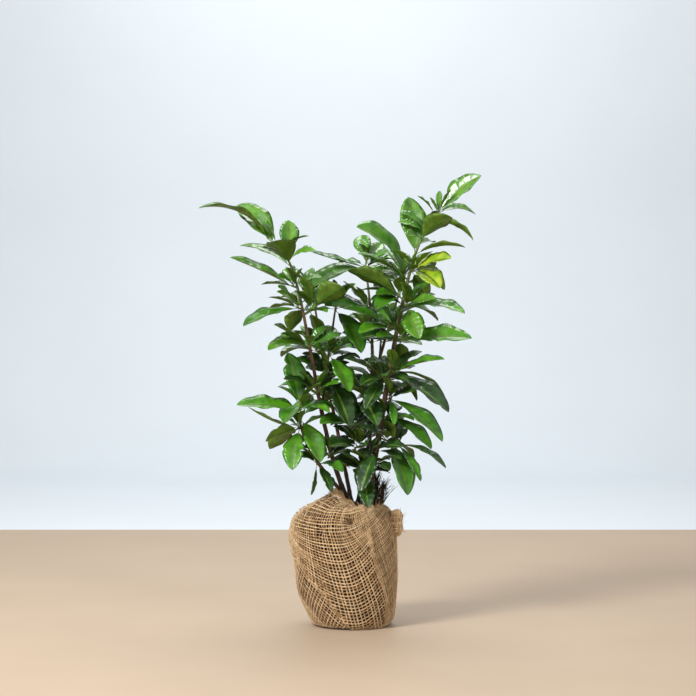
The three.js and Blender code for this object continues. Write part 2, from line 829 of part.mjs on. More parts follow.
function leafHalfWidth(leaf, share) {
  const petioleShare = PETIOLE / leaf.chord.length();
  const blade = (share - petioleShare) / (1 - petioleShare);
  if (blade <= 0) return PETIOLE_HALF_WIDTH;
  const widest = 0.5 * LEAF_WIDTH_SHARE * leaf.chord.length() * leaf.wide;
  return PETIOLE_HALF_WIDTH + (widest - PETIOLE_HALF_WIDTH) * bladeShape(blade);
}

// A folded blade: at each station a left edge, a raised midrib, a right edge and a lower midrib.
function leafSolid(leaf) {
  const petioleShare = PETIOLE / leaf.chord.length();
  const stations = [0, ...leaf.stations.map((blade) => mix(petioleShare, 1, blade))];
  const thick = LEAF_THICK_SHARE * leaf.chord.length();
  const rings = stations.map((share) => {
    const { point, side, normal } = leafFrame(leaf, share);
    const half = leafHalfWidth(leaf, share);
    const lift = share > petioleShare ? half * Math.tan(LEAF_FOLD) : 0;
    const place = (across, up) =>
      point.clone().addScaledVector(side, across).addScaledVector(normal, up);
    return [place(-half, lift), place(0, thick / 2), place(half, lift), place(0, -thick / 2)];
  });
  return loft([...rings, [leafFrame(leaf, 1).point]]);
}

// The leaf as a net for testing: rows of left, middle and right points with the row's normal.
function leafNet(leaf) {
  const from = FREE_PETIOLE / leaf.chord.length();
  const net = [];
  for (let i = 0; i <= TEST_STATIONS; i += 1) {
    const share = mix(from, 1, i / TEST_STATIONS);
    const { point, side, normal } = leafFrame(leaf, share);
    const half = share === 1 ? 0.5 : leafHalfWidth(leaf, share);
    const lift = half * Math.tan(LEAF_FOLD);
    const edge = (sign) =>
      point.clone().addScaledVector(side, sign * half).addScaledVector(normal, lift);
    net.push({ points: [edge(-1), point, edge(1)], normal });
  }
  return net;
}

function netTriangles(net) {
  const triangles = [];
  for (let i = 0; i + 1 < net.length; i += 1) {
    for (let k = 0; k < 2; k += 1) {
      const [a, b] = [net[i].points[k], net[i].points[k + 1]];
      const [c, d] = [net[i + 1].points[k], net[i + 1].points[k + 1]];
      triangles.push([a, b, c], [b, d, c]);
    }
  }
  return triangles;
}

// The net's lines, on both sides of the blade at its clearance, and the struts between them.
function netLines(net) {
  const lines = [];
  const layer = net.map(({ points, normal }) =>
    [-LEAF_CLEAR, LEAF_CLEAR].map((off) => points.map((p) => p.clone().addScaledVector(normal, off))),
  );
  layer.forEach(([below, above], i) => {
    for (let k = 0; k < 3; k += 1) {
      lines.push([below[k], above[k]]);
      if (k < 2) lines.push([below[k], below[k + 1]], [above[k], above[k + 1]]);
      if (i > 0) lines.push([layer[i - 1][0][k], below[k]], [layer[i - 1][1][k], above[k]]);
    }
  });
  return lines;
}

// Four lines along the free part of a leaf's stalk.
function petioleLines(leaf) {
  const { side, normal } = leafFrame(leaf, 0);
  const end = leafFrame(leaf, FREE_PETIOLE / leaf.chord.length()).point;
  return [
    [1, 0],
    [-1, 0],
    [0, 1],
    [0, -1],
  ].map(([across, up]) =>
    [leaf.base, end].map((p) =>
      p
        .clone()
        .addScaledVector(side, across * LEAF_CLEAR)
        .addScaledVector(normal, up * LEAF_CLEAR),
    ),
  );
}

const halfway = (a, b) => a.clone().lerp(b, 0.5);

// The net's points and the points halfway between them.
function netProbes(net) {
  const rows = net.map(({ points }) => points);
  const between = rows.slice(1).map((row, i) => row.map((p, k) => halfway(p, rows[i][k])));
  return [...rows, ...between].flatMap(([a, b, c]) => [a, halfway(a, b), b, halfway(b, c), c]);
}

const edge1 = new THREE.Vector3();
const edge2 = new THREE.Vector3();
const ray = new THREE.Vector3();
const cross = new THREE.Vector3();
const offset = new THREE.Vector3();

function linePierces([from, to], [a, b, c]) {
  ray.subVectors(to, from);
  edge1.subVectors(b, a);
  edge2.subVectors(c, a);
  cross.crossVectors(ray, edge2);
  const area = edge1.dot(cross);
  if (Math.abs(area) < 1e-9) return false;
  offset.subVectors(from, a);
  const u = offset.dot(cross) / area;
  if (u < 0 || u > 1) return false;
  offset.cross(edge1);
  const v = ray.dot(offset) / area;
  if (v < 0 || u + v > 1) return false;
  const t = edge2.dot(offset) / area;
  return t >= 0 && t <= 1;
}

const pierces = (lines, triangles) =>
  lines.some((line) => triangles.some((triangle) => linePierces(line, triangle)));

// Distance of a point from a limb's skin, over the limb's stretches.
function clearOfLimb(p, { points, radii }) {
  let nearest = Infinity;
  for (let i = 0; i + 1 < points.length; i += 1) {
    ray.subVectors(points[i + 1], points[i]);
    offset.subVectors(p, points[i]);
    const share = Math.min(1, Math.max(0, offset.dot(ray) / ray.lengthSq()));
    offset.addScaledVector(ray, -share);
    const radius = mix(radii[0], radii[1], (i + share) / (points.length - 1));
    nearest = Math.min(nearest, offset.length() - radius);
  }
  return nearest;
}

function ballTopAt(p) {
  const apart = Math.hypot(p.x, p.y / BALL_DEPTH_SHARE);
  const shoulder = BALL_ROWS.filter(([height]) => height >= REST_HEIGHT).map(
    ([height, radius]) => [-radius, height],
  );
  return apart > shoulder[0][0] * -1 ? 0 : tableAt(shoulder, -apart)[0];
}

function insideCrown(p) {
  const [left, right] = tableAt(CROWN_ROWS, p.z);
  const middle = (left + right) / 2;
  const half = (right - left) / 2;
  return ((p.x - middle) / half) ** 2 + (p.y / (half * CROWN_DEPTH_SHARE)) ** 2 <= 1;
}

const placed = [];
const shoots = [];

// Whether a leaf is clear of every limb and shoot, of the cloth and of every placed leaf.
function leafIsClear(leaf, net, own) {
  const reach = leaf.chord.length();
  const entersCarrier = PETIOLE_TESTS.some(
    (run) => clearOfLimb(leafFrame(leaf, run / reach).point, own.limb) < GAP,
  );
  if (entersCarrier) return false;
  const probes = netProbes(net);
  const nearFoot = (p) => p.distanceTo(leaf.base) < FREE_FOOT;
  const touchesLimb = [...Object.values(limbs), ...shoots].some((limb) =>
    probes.some((p) => {
      if ((limb === own.limb || limb === own.shoot) && nearFoot(p)) return false;
      return clearOfLimb(p, limb) < LIMB_CLEAR;
    }),
  );
  if (touchesLimb || probes.some((p) => p.z < ballTopAt(p) + CLOTH_CLEAR)) return false;
  const lines = netLines(net);
  const triangles = netTriangles(net);
  const petiole = petioleLines(leaf);
  return !placed.some((other) => {
    const apart = other.centre.distanceTo(net[4].points[1]);
    if (apart > (other.reach + leaf.chord.length()) * 0.62) return false;
    if (pierces(lines, other.triangles) || pierces(other.lines, triangles)) return true;
    if (other.shoot === own.shoot) return false;
    return pierces(petiole, other.triangles) || pierces(other.petiole, triangles);
  });
}

function rememberLeaf(leaf, net, shoot) {
  placed.push({
    shoot,
    triangles: netTriangles(net),
    lines: netLines(net),
    petiole: petioleLines(leaf),
    centre: net[4].points[1],
    reach: leaf.chord.length(),
  });
}

// Turning a blade's face to the front is a roll one way on the right and the other on the left.
const facing = (right, face) => (right < 0 ? -face : face) * DEGREE;

// A leaf starts on the part of its shoot that stands clear of the limb.
const leafBase = (shoot, at) => shoot.curve.getPoint(mix(shoot.hidden, 1, at));

function outlineLeaf(shoot, [at, right, up, long, side, droop, face, wide]) {
  const back = side * Math.sqrt(Math.max(0, long * long - right * right - up * up));
  return {
    base: leafBase(shoot, at),
    chord: vector(right, back, up),
    droop: droop * DEGREE,
    roll: facing(right, face),
    wide,
    stations: OUTLINE_STATIONS,
  };
}

// The k-th leaf of the rule: a spiral down the shoot from its tip, steep at the tip and
// flat at the foot.
function ruleLeaf(shoot, k, draws, turn, lift) {
  const [count, size, first] = shoot.rule;
  const down = (k + 0.5) / count;
  const heading = (first + SPIRAL_TURN * k + draws[0] + turn) * DEGREE;
  const rise = (mix(RISE_AT_TIP, RISE_AT_FOOT, down) + draws[1] + lift) * DEGREE;
  const long = size * (1 - RULE_SIZE_SHARE * (1 - down)) * (1 + draws[2]);
  return {
    base: leafBase(shoot, 1 - 0.85 * down),
    chord: vector(
      long * Math.cos(rise) * Math.cos(heading),
      long * Math.cos(rise) * Math.sin(heading),
      long * Math.sin(rise),
    ),
    droop: (RULE_DROOP + draws[3]) * DEGREE,
    roll: facing(Math.cos(heading), RULE_FACE + draws[4]),
    wide: 1 + draws[5],
    stations: RULE_STATIONS,
  };
}

function shootCurve(limb, height, grow) {
  const place = height === undefined ? 1 : placeAtHeight(limb.curve, height);
  const tangent = limb.curve.getTangent(place);
  const foot = limb.curve.getPoint(place);
  if (height === undefined) foot.addScaledVector(tangent, GAP);
  const tip = foot.clone().add(vector(...grow));
  const length = foot.distanceTo(tip);
  const bend =
    height === undefined
      ? foot.clone().addScaledVector(tangent, 0.4 * length)
      : foot.clone().lerp(tip, 0.5).addScaledVector(UP, -0.06 * length);
  return { curve: new THREE.QuadraticBezierCurve3(foot, bend, tip), tangent };
}

// The share of a shoot that is inside the limb, or too close to it for a leaf.
function hiddenShare(curve, carrier) {
  let share = 0;
  while (share < 1 && clearOfLimb(curve.getPoint(share), carrier) < LIMB_CLEAR) {
    share += 1 / HIDDEN_STEPS;
  }
  return share;
}

function layOutShoot({ name, limb, height, grow, rule, leaves }, number) {
  const carrier = limbs[limb];
  const { curve, tangent } = shootCurve(carrier, height, grow);
  const atTip = height === undefined;
  const radii = [atTip ? carrier.radii[1] : SHOOT_FOOT_RADIUS, SHOOT_TIP_RADIUS];
  const points = [];
  for (let i = 0; i <= 4; i += 1) points.push(curve.getPoint(i / 4));
  const hidden = atTip ? 0 : hiddenShare(curve, carrier);
  const shoot = {
    name, number, carrier, curve, tangent, atTip, radii, points, hidden, rule, leaves, kept: [],
  };
  shoots.push(shoot);
  return shoot;
}

function keep(shoot, leaf) {
  const net = leafNet(leaf);
  if (!leafIsClear(leaf, net, { limb: shoot.carrier, shoot })) return false;
  rememberLeaf(leaf, net, shoot);
  shoot.kept.push(leaf);
  return true;
}

function addOutlineLeaves(shoot) {
  shoot.leaves.forEach((row) => keep(shoot, outlineLeaf(shoot, row)));
}

function addRuleLeaves(shoot) {
  const draw = new Draws(7919 * (shoot.number + 1));
  for (let k = 0; k < shoot.rule[0]; k += 1) {
    const draws = [
      draw.around(HEADING_JITTER),
      draw.around(RISE_JITTER),
      draw.around(0.1),
      draw.around(14),
      draw.around(FACE_JITTER),
      draw.around(0.1),
    ];
    RISE_NUDGES.some((lift) =>
      NUDGES.some((turn) => {
        const leaf = ruleLeaf(shoot, k, draws, turn, lift);
        return insideCrown(leaf.base.clone().add(leaf.chord)) && keep(shoot, leaf);
      }),
    );
  }
}

function foliageMass(shoot) {
  const start = shoot.atTip ? shoot.tangent : shoot.curve.getTangent(0);
  let made = taperedLimb(shoot.curve, start, shoot.radii, SHOOT_SIDES, SHOOT_STEPS, 0);
  shoot.kept.forEach((leaf) => {
    made = made.add(leafSolid(leaf));
  });
  return largest(made.subtract(shoot.carrier.grown));
}

const plant = new THREE.Group();
plant.add(meshOf("burlap_wrap", burlapWrap(), BURLAP));
plant.add(meshOf("soil_ball", soilBall(), SOIL));
plant.add(meshOf("burlap_knot", burlapKnot(), BURLAP));
plant.add(meshOf("root_collar", rootCollar(), BARK));
Object.entries(LIMBS).forEach(([name, sizes]) => plant.add(meshOf(name, makeLimb(name, sizes), BARK)));
Object.entries(DRY_TWIGS).forEach(([name, sizes]) => plant.add(meshOf(name, dryTwig(sizes), DRY_WOOD)));

const all = SHOOTS.map(layOutShoot);
all.forEach(addOutlineLeaves);
all.forEach(addRuleLeaves);
all.forEach((shoot) => {
  const material = shoot.name === "foliage_yellowing" ? LEAF_YELLOW : LEAF_GREEN;
  plant.add(meshOf(shoot.name, foliageMass(shoot), material));
});
export default plant;
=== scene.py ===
# %% [markdown]
# # A young evergreen shrub on its root ball
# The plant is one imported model: solids for the stems, for each leafy shoot and for the
# root ball in its burlap. This file opens that model as a fixed frame and dresses it. Every
# piece made here grows from the same named sizes as the solids, in the same space, so
# nothing has to be fitted by hand.

import math

import bpy
import numpy as np
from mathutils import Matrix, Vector


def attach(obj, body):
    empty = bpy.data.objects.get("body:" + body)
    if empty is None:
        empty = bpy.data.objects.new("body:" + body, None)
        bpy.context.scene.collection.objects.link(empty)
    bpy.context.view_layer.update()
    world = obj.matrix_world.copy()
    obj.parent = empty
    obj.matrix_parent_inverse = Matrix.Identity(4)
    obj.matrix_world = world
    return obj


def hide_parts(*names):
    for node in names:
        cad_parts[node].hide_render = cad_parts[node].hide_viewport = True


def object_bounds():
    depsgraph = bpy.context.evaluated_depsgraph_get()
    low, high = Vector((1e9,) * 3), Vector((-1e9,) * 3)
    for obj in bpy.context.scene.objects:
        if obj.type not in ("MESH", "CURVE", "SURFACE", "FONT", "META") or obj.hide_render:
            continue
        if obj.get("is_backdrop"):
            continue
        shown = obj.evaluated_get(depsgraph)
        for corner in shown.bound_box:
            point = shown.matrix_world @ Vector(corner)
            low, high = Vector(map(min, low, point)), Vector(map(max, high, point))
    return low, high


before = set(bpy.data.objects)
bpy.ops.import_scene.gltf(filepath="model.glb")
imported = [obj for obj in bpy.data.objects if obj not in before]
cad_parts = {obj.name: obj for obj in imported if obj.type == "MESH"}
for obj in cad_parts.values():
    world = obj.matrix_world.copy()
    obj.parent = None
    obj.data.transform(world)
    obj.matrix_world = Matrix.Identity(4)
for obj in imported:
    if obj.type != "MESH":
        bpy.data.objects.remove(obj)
bpy.context.view_layer.update()

# %% [markdown]
# ## Units and small tools
# The plant's sizes are easiest to read in millimetres, and Blender works in metres, so
# points are worked out in millimetres and scaled as each mesh is made. All chance comes
# from seeded generators, so each run grows the same plant.

# %% Units and small tools
MM = 0.001
DEGREE = math.pi / 180
GAP = 0.3
UP = np.array([0.0, 0.0, 1.0])


def mix(a, b, share):
    return a + (b - a) * share


def unit(v):
    return v / np.linalg.norm(v, axis=-1, keepdims=True)


def bump_at(distance, width):
    """A smooth hill, 1 at no distance and close to 0 beyond twice its width."""
    return np.exp(-((distance / width) ** 2))


def deselect_all():
    bpy.ops.object.select_all(action="DESELECT")


def only(piece):
    deselect_all()
    piece.select_set(True)
    bpy.context.view_layer.objects.active = piece


def mesh_piece(name, points, faces, looks, face_look=None):
    """One object from arrays: points in millimetres, and faces as an array of corners."""
    faces = np.asarray(faces, dtype=np.int32)
    corners = faces.shape[1]
    mesh = bpy.data.meshes.new(name)
    mesh.vertices.add(len(points))
    mesh.vertices.foreach_set("co", (np.asarray(points) * MM).astype(np.float32).ravel())
    mesh.loops.add(faces.size)
    mesh.loops.foreach_set("vertex_index", faces.ravel())
    mesh.polygons.add(len(faces))
    mesh.polygons.foreach_set("loop_start", np.arange(0, faces.size, corners, dtype=np.int32))
    mesh.polygons.foreach_set("loop_total", np.full(len(faces), corners, dtype=np.int32))
    for look in looks:
        mesh.materials.append(look)
    if face_look is not None:
        mesh.polygons.foreach_set("material_index", np.asarray(face_look, dtype=np.int32))
    mesh.polygons.foreach_set("use_smooth", np.full(len(faces), True))
    mesh.update(calc_edges=True)
    mesh.validate()
    piece = bpy.data.objects.new(name, mesh)
    bpy.context.scene.collection.objects.link(piece)
    return piece


def finish_piece(piece, nodes=()):
    """The piece rides with the plant and stands for nodes, which are hidden."""
    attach(piece, "root")
    if nodes:
        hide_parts(*nodes)
    triangles = sum(len(face.vertices) - 2 for face in piece.data.polygons)
    print(f"{piece.name}: {triangles} triangles")
    return piece


# %% [markdown]
# ## The limbs
# Each stem is one cubic curve: its foot, two handles and a tip. The foot is a heading on
# the root collar, or a height on another stem. The last pair is the radius at foot and tip.
# Written this way, a stem's lean and bow are a few points that can be read and changed.

# %% The limbs
FOOT_CIRCLE = 14.5
COLLAR_CENTRE = (22, 0)
SOIL_TOP = 224
COLLAR_HEIGHT = 12
FOOT_HEIGHT = SOIL_TOP + GAP + COLLAR_HEIGHT + GAP
LIMB_TEST_STEPS = 20
HALVINGS = 40
LIMBS = {
    "stem_right": (340, (62, 4, 330), (92, 12, 600), (136, -5, 739), (7.4, 2.7)),
    "stem_middle": (40, (50, 16, 400), (62, 46, 560), (38, 55, 713), (5.4, 2.0)),
    "stem_left": (200, (-55, -16, 350), (-70, -36, 600), (-110, -45, 713), (5.2, 2.3)),
    "branch_low_left": (255, (-34, -22, 290), (-92, -38, 360), (-92, -44, 410), (4.2, 2.3)),
    "stem_back": (95, (44, 62, 360), (62, 108, 450), (70, 140, 560), (4.2, 2.1)),
    "stem_back_left": (147, (-16, 52, 380), (-52, 88, 520), (-66, 106, 640), (4.4, 2.1)),
    "stem_middle_back": (
        ("stem_middle", 486), (64, 44, 522), (86, 84, 600), (112, 112, 680), (3.8, 2.0),
    ),
    "stem_left_inner": (
        ("stem_left", 428), (-45, 0, 480), (-34, 26, 560), (-24, 38, 629), (3.0, 2.0),
    ),
}


def cubic(points, t):
    t = np.asarray(t, dtype=float)[..., None]
    a, b, c, d = points
    return (1 - t) ** 3 * a + 3 * (1 - t) ** 2 * t * b + 3 * (1 - t) * t**2 * c + t**3 * d


def cubic_slope(points, t):
    t = np.asarray(t, dtype=float)[..., None]
    a, b, c, d = points
    slope = 3 * (1 - t) ** 2 * (b - a) + 6 * (1 - t) * t * (c - b) + 3 * t**2 * (d - c)
    return unit(slope)


def quadratic(points, t):
    t = np.asarray(t, dtype=float)[..., None]
    a, b, c = points
    return (1 - t) ** 2 * a + 2 * (1 - t) * t * b + t**2 * c


def place_at_height(points, height):
    """The place along a stem's curve at a given height, by halving."""
    low, high = 0.0, 1.0
    for _ in range(HALVINGS):
        middle = (low + high) / 2
        if cubic(points, middle)[2] < height:
            low = middle
        else:
            high = middle
    return (low + high) / 2


def on_circle(heading, radius, height):
    """A point round the root collar's middle."""
    x, y = COLLAR_CENTRE
    angle = heading * DEGREE
    return np.array([x + radius * math.cos(angle), y + radius * math.sin(angle), height])


limbs = {}
for name, (start, *bends, radii) in LIMBS.items():
    forks = isinstance(start, tuple)
    if forks:
        carrier = limbs[start[0]]["curve"]
        foot = cubic(carrier, place_at_height(carrier, start[1]))
    else:
        foot = on_circle(start, FOOT_CIRCLE, FOOT_HEIGHT)
    curve = [foot, *np.array(bends, float)]
    points = cubic(curve, np.linspace(0, 1, LIMB_TEST_STEPS + 1))
    limbs[name] = dict(name=name, curve=curve, points=points, radii=radii, forks=forks)
print(len(limbs), "limbs, the tallest to", max(limb["points"][-1][2] for limb in limbs.values()))

# %% [markdown]
# ## The shoots
# Each shoot carries one mass of leaves: it starts on a stem at a height, or with None goes
# on from the stem's tip, and grows a short way. The next three numbers say how many leaves
# a seeded rule sets on it, their length and the first one's heading. Then come the leaves
# that make the outline, each by its place on the shoot, its reach to the right and up, its
# length, the side it leans to, its droop, how far its face turns to the front, and its width.

# %% The shoots
AWAY = 1
TOWARD = -1
SHOOTS = [
    ("top_right", "stem_right", None, (46, -9, 84), (1, 80, 130), [
        (1, 84, 71, 112, TOWARD, 22, 55, 1.1), (1, 4, 46, 55, AWAY, 5, 0, 0.6),
        (1, 24, 44, 58, TOWARD, 5, 20, 0.6), (0.97, 80, 2, 92, AWAY, 60, 30, 0.85),
        (0.8, 80, -40, 95, TOWARD, 60, -25, 0.8), (0.35, 56, 43, 100, TOWARD, 40, -20, 1.25),
        (0, -12, 119, 124, AWAY, 12, 10, 1.1), (0.02, 98, 10, 106, TOWARD, 40, -15, 0.65),
    ]),
    ("yellowing", "stem_right", 706, (6, -14, 0), (0, 90, 0), [
        (1, 49, -37, 92, TOWARD, 45, 20, 1.3), (0.5, 48, 14, 88, AWAY, 60, 0, 1),
        (0.7, 73, 22, 95, TOWARD, 30, 35, 1.25), (0.3, 32, -57, 85, AWAY, 25, -30, 1),
        (0.2, 70, -34, 105, AWAY, 80, -60, 0.6),
    ]),
    ("upper_centre", "stem_right", 690, (-10, -4, 6), (0, 90, 0), [
        (1, -94, 94, 144, TOWARD, 70, 48, 1.15), (0.5, -94, 44, 116, TOWARD, 25, 20, 0.8),
        (0.3, -34, 58, 80, AWAY, 15, 0, 0.6),
    ]),
    ("right_upper", "stem_right", 634, (14, -8, 4), (2, 90, 60), [
        (1, 108, -18, 124, TOWARD, 28, 22, 0.9), (0.6, 64, -28, 92, AWAY, 45, 30, 1.1),
        (0.5, 24, -66, 92, TOWARD, 15, 30, 1.2),
    ]),
    ("right_upper_inner", "stem_right", 650, (-8, -6, 6), (0, 90, 0), [
        (1, -104, 50, 124, TOWARD, 35, -30, 0.95), (0.8, -48, -28, 85, TOWARD, 40, 20, 1.1),
        (0.2, -60, 22, 85, AWAY, 20, 20, 0.9),
    ]),
    ("right_inner", "stem_right", 588, (-8, -6, 4), (1, 85, 120), [
        (1, -100, 38, 116, TOWARD, 30, 30, 0.95), (0.6, -70, -10, 95, TOWARD, 35, 25, 0.9),
    ]),
    ("right_mid", "stem_right", 566, (14, -6, 4), (2, 90, 70), [
        (1, 138, 2, 141, TOWARD, 8, 38, 1), (0.5, 4, -58, 82, AWAY, 30, 0, 1.2),
    ]),
    ("right_low", "stem_right", 494, (10, -4, 10), (1, 90, 70), [
        (1, 100, 26, 112, TOWARD, 20, 22, 0.9), (0.8, 108, -62, 130, AWAY, 75, 0, 0.5),
        (0.1, 110, -76, 142, TOWARD, 26, 20, 1), (0.2, 50, -56, 90, AWAY, 35, 20, 0.9),
    ]),
    ("right_low_inner", "stem_right", 490, (-10, -8, 4), (0, 85, 120), [
        (1, -80, 38, 102, TOWARD, 25, 20, 0.9), (0.6, -48, -14, 80, TOWARD, 30, 30, 1),
        (0.3, -40, -60, 95, TOWARD, 30, 20, 0.9),
    ]),
    ("right_hanging", "stem_right", 450, (10, -8, 2), (0, 90, 0), [
        (1, 102, -84, 142, TOWARD, 26, 15, 0.9), (0.5, 106, -70, 136, AWAY, 30, 12, 0.8),
        (0.8, 8, -50, 75, TOWARD, 20, 0, 0.6),
    ]),
    ("right_hanging_low", "stem_right", 415, (12, -10, 0), (3, 85, 60), [
        (1, 84, -62, 115, TOWARD, 30, 15, 0.9), (0.2, 34, -14, 75, AWAY, 35, 20, 1),
    ]),
    ("right_foot", "stem_right", 375, (40, -24, -14), (2, 85, 80), [
        (1, 90, -44, 115, TOWARD, 45, 8, 0.6), (0.9, 44, -70, 100, TOWARD, 30, 0, 0.6),
        (0.1, 62, -40, 95, AWAY, 40, 20, 1), (0.4, 36, -104, 118, TOWARD, 20, 12, 1),
    ]),
    ("middle_top", "stem_middle", None, (2, 4, 20), (1, 80, 60), [
        (0.9, -10, 56, 80, AWAY, 15, 20, 1.15), (0.7, 34, 44, 80, AWAY, 15, 30, 1),
        (0.3, -116, 30, 126, TOWARD, -6, 22, 0.6), (0, -110, -40, 124, TOWARD, 45, 30, 1),
        (0.1, 44, 30, 85, TOWARD, 15, 40, 1.1),
    ]),
    ("middle_upper", "stem_middle", 628, (-6, -10, 6), (2, 90, 20), [
        (0.9, -50, 52, 90, TOWARD, 20, 25, 0.9), (0.6, -88, 4, 105, TOWARD, 25, 30, 1),
    ]),
    ("middle", "stem_middle", 560, (-6, -14, 8), (4, 90, 200), []),
    ("top_left", "stem_left", None, (-44, -4, 54), (0, 80, 30), [
        (1, -134, 56, 154, TOWARD, 75, 8, 0.75), (0.8, -78, 82, 120, AWAY, 30, 40, 1.15),
        (0.35, 4, 76, 84, AWAY, 15, 20, 1.2), (0.05, -34, 40, 100, TOWARD, 30, -10, 1.4),
        (0, -105, 44, 122, AWAY, 35, 18, 0.8),
    ]),
    ("left_upper", "stem_left", 672, (-8, -6, 2), (1, 80, 60), [
        (1, -122, 54, 142, TOWARD, 8, 25, 0.85),
    ]),
    ("left_shoulder", "stem_left", 630, (-8, -8, 2), (1, 80, 120), [
        (1, -70, -16, 96, AWAY, 60, 8, 0.8), (0.8, -38, 38, 85, TOWARD, 30, 35, 1.1),
        (0.6, -20, -44, 85, AWAY, 25, 0, 1.1), (0.9, -104, -38, 136, TOWARD, 18, 14, 0.85),
    ]),
    ("left_heart", "stem_left", 618, (22, -10, 14), (4, 80, 60), [
        (1, 56, 38, 95, TOWARD, 25, -35, 1.4), (0.8, -22, 62, 82, TOWARD, 25, 0, 0.8),
        (0.5, 20, -54, 85, AWAY, 15, 20, 1.1),
    ]),
    ("left_mid", "stem_left", 552, (-2, -10, 2), (0, 90, 20), [
        (1, -66, 43, 100, TOWARD, 15, 22, 1), (0.8, -78, -6, 100, TOWARD, 50, 22, 1),
        (0.5, -74, 2, 98, AWAY, 40, 20, 1), (0.3, -57, -18, 95, AWAY, 35, 20, 1),
    ]),
    ("left_low", "stem_left", 463, (-2, -8, 2), (3, 85, 340), [
        (0.5, -77, 12, 95, AWAY, 35, 20, 1),
    ]),
    ("low_left_tip", "branch_low_left", None, (0, -2, 30), (0, 85, 100), [
        (0.9, -26, 107, 115, AWAY, 10, 20, 1), (0.8, -123, 8, 132, TOWARD, 16, 32, 0.9),
        (0.9, -28, -30, 85, TOWARD, 35, 0, 1.2), (0.7, 58, -4, 75, TOWARD, 60, 20, 0.8),
        (1, 40, 44, 78, TOWARD, 30, 20, 0.8), (0.1, 41, -82, 105, TOWARD, 25, 15, 1),
    ]),
    ("low_left_mid", "branch_low_left", 394, (-4, -6, 0), (0, 85, 0), [
        (1, -104, 41, 120, AWAY, -25, -15, 0.6), (0.8, -64, -22, 90, TOWARD, 15, -45, 1.2),
        (0.3, -62, -44, 94, AWAY, 25, -30, 1.1), (0.6, -12, -78, 98, TOWARD, 25, 0, 1.15),
    ]),
    ("low_left_foot", "branch_low_left", 325, (-2, -12, -2), (1, 75, 100), [
        (1, -12, -58, 70, TOWARD, 10, 75, 0.5), (0.8, 28, -52, 75, TOWARD, 25, 0, 0.9),
        (0.5, 50, -12, 80, TOWARD, 40, 20, 0.9),
    ]),
    ("inner_top", "stem_left_inner", None, (0, -4, 14), (4, 78, 250), [
        (0.1, 52, -88, 115, TOWARD, 30, 15, 1.05),
    ]),
    ("inner_mid", "stem_left_inner", 537, (2, -20, 2), (0, 90, 200), [
        (1, 40, -73, 102, TOWARD, 20, 0, 1.15), (0.8, -36, 52, 80, AWAY, 10, 0, 0.5),
        (0.7, 44, 16, 80, TOWARD, 30, 20, 0.9), (0.3, 62, -6, 90, AWAY, 35, 15, 0.9),
    ]),
    ("inner_low", "stem_left_inner", 500, (2, -8, -2), (3, 90, 160), [
        (1, 45, -100, 125, TOWARD, 20, 5, 1.2),
    ]),
    ("centre", "stem_middle", 412, (-34, -34, -16), (3, 90, 300), [
        (1, -67, 8, 92, TOWARD, 35, 30, 1.1),
    ]),
    ("centre_low", "stem_middle", 360, (-26, -34, -6), (4, 85, 200), [
        (1, -52, 6, 90, TOWARD, 30, 30, 1.2),
    ]),
    ("heart", "stem_middle", 450, (-20, -26, 6), (4, 90, 220), [
        (1, 30, -56, 95, TOWARD, 25, 10, 1.2),
    ]),
    ("low_heart", "stem_left", 340, (-6, -24, -4), (4, 80, 210), [
        (0.6, 52, 8, 80, AWAY, 25, 0, 1),
    ]),
    ("low_right_heart", "stem_right", 318, (-6, -18, 0), (3, 80, 30), []),
    ("front", "stem_right", 352, (-2, -24, -4), (3, 85, 200), [
        (1, -29, -76, 100, TOWARD, 30, 0, 1.1),
    ]),
    ("front_low", "stem_middle", 305, (-2, -28, -2), (3, 75, 190), [
        (1, 4, -62, 100, TOWARD, 25, 0, 0.9),
    ]),
    ("back_left_top", "stem_back_left", None, (-6, 6, 30), (6, 95, 80), []),
    ("back_left_mid", "stem_back_left", 540, (-12, 14, 8), (5, 95, 150), []),
    ("back_left_low", "stem_back_left", 430, (-14, 12, 8), (4, 90, 120), []),
    ("back_top", "stem_back", None, (2, 8, 28), (6, 95, 40), []),
    ("back_mid", "stem_back", 470, (8, 16, 6), (5, 95, 60), []),
    ("back_low", "stem_back", 370, (10, 16, 4), (4, 90, 20), []),
    ("middle_back_top", "stem_middle_back", None, (4, 6, 28), (6, 90, 100), []),
    ("middle_back_mid", "stem_middle_back", 590, (6, 14, 8), (4, 90, 60), []),
]

# %% [markdown]
# ## How a leaf lies in space
# A leaf follows an arc that leaves its base steeper than its chord and ends flatter, as a
# heavy blade does on its stalk. The same frame of point, side and face direction serves
# for the coarse net that tests whether leaves touch and for the finished blade.

# %% How a leaf lies in space
LEAF_WIDTH_SHARE = 0.4
WIDEST_TOWARD_BASE = 1.1
BLADE_FULLNESS = 0.8
TIP_HALF_WIDTH = 0.5
LEAF_FOLD = 20 * DEGREE
PETIOLE = 12
PETIOLE_HALF_WIDTH = 1.3
LEAF_CLEAR = 2.2
LIMB_CLEAR = 1.6
CLOTH_CLEAR = 4
FREE_PETIOLE = 14
FREE_FOOT = 24
TEST_STATIONS = 8


def toward(heading, rise):
    """The direction with a heading round the plant and a rise from level."""
    level = math.cos(rise)
    return np.array([level * math.cos(heading), level * math.sin(heading), math.sin(rise)])


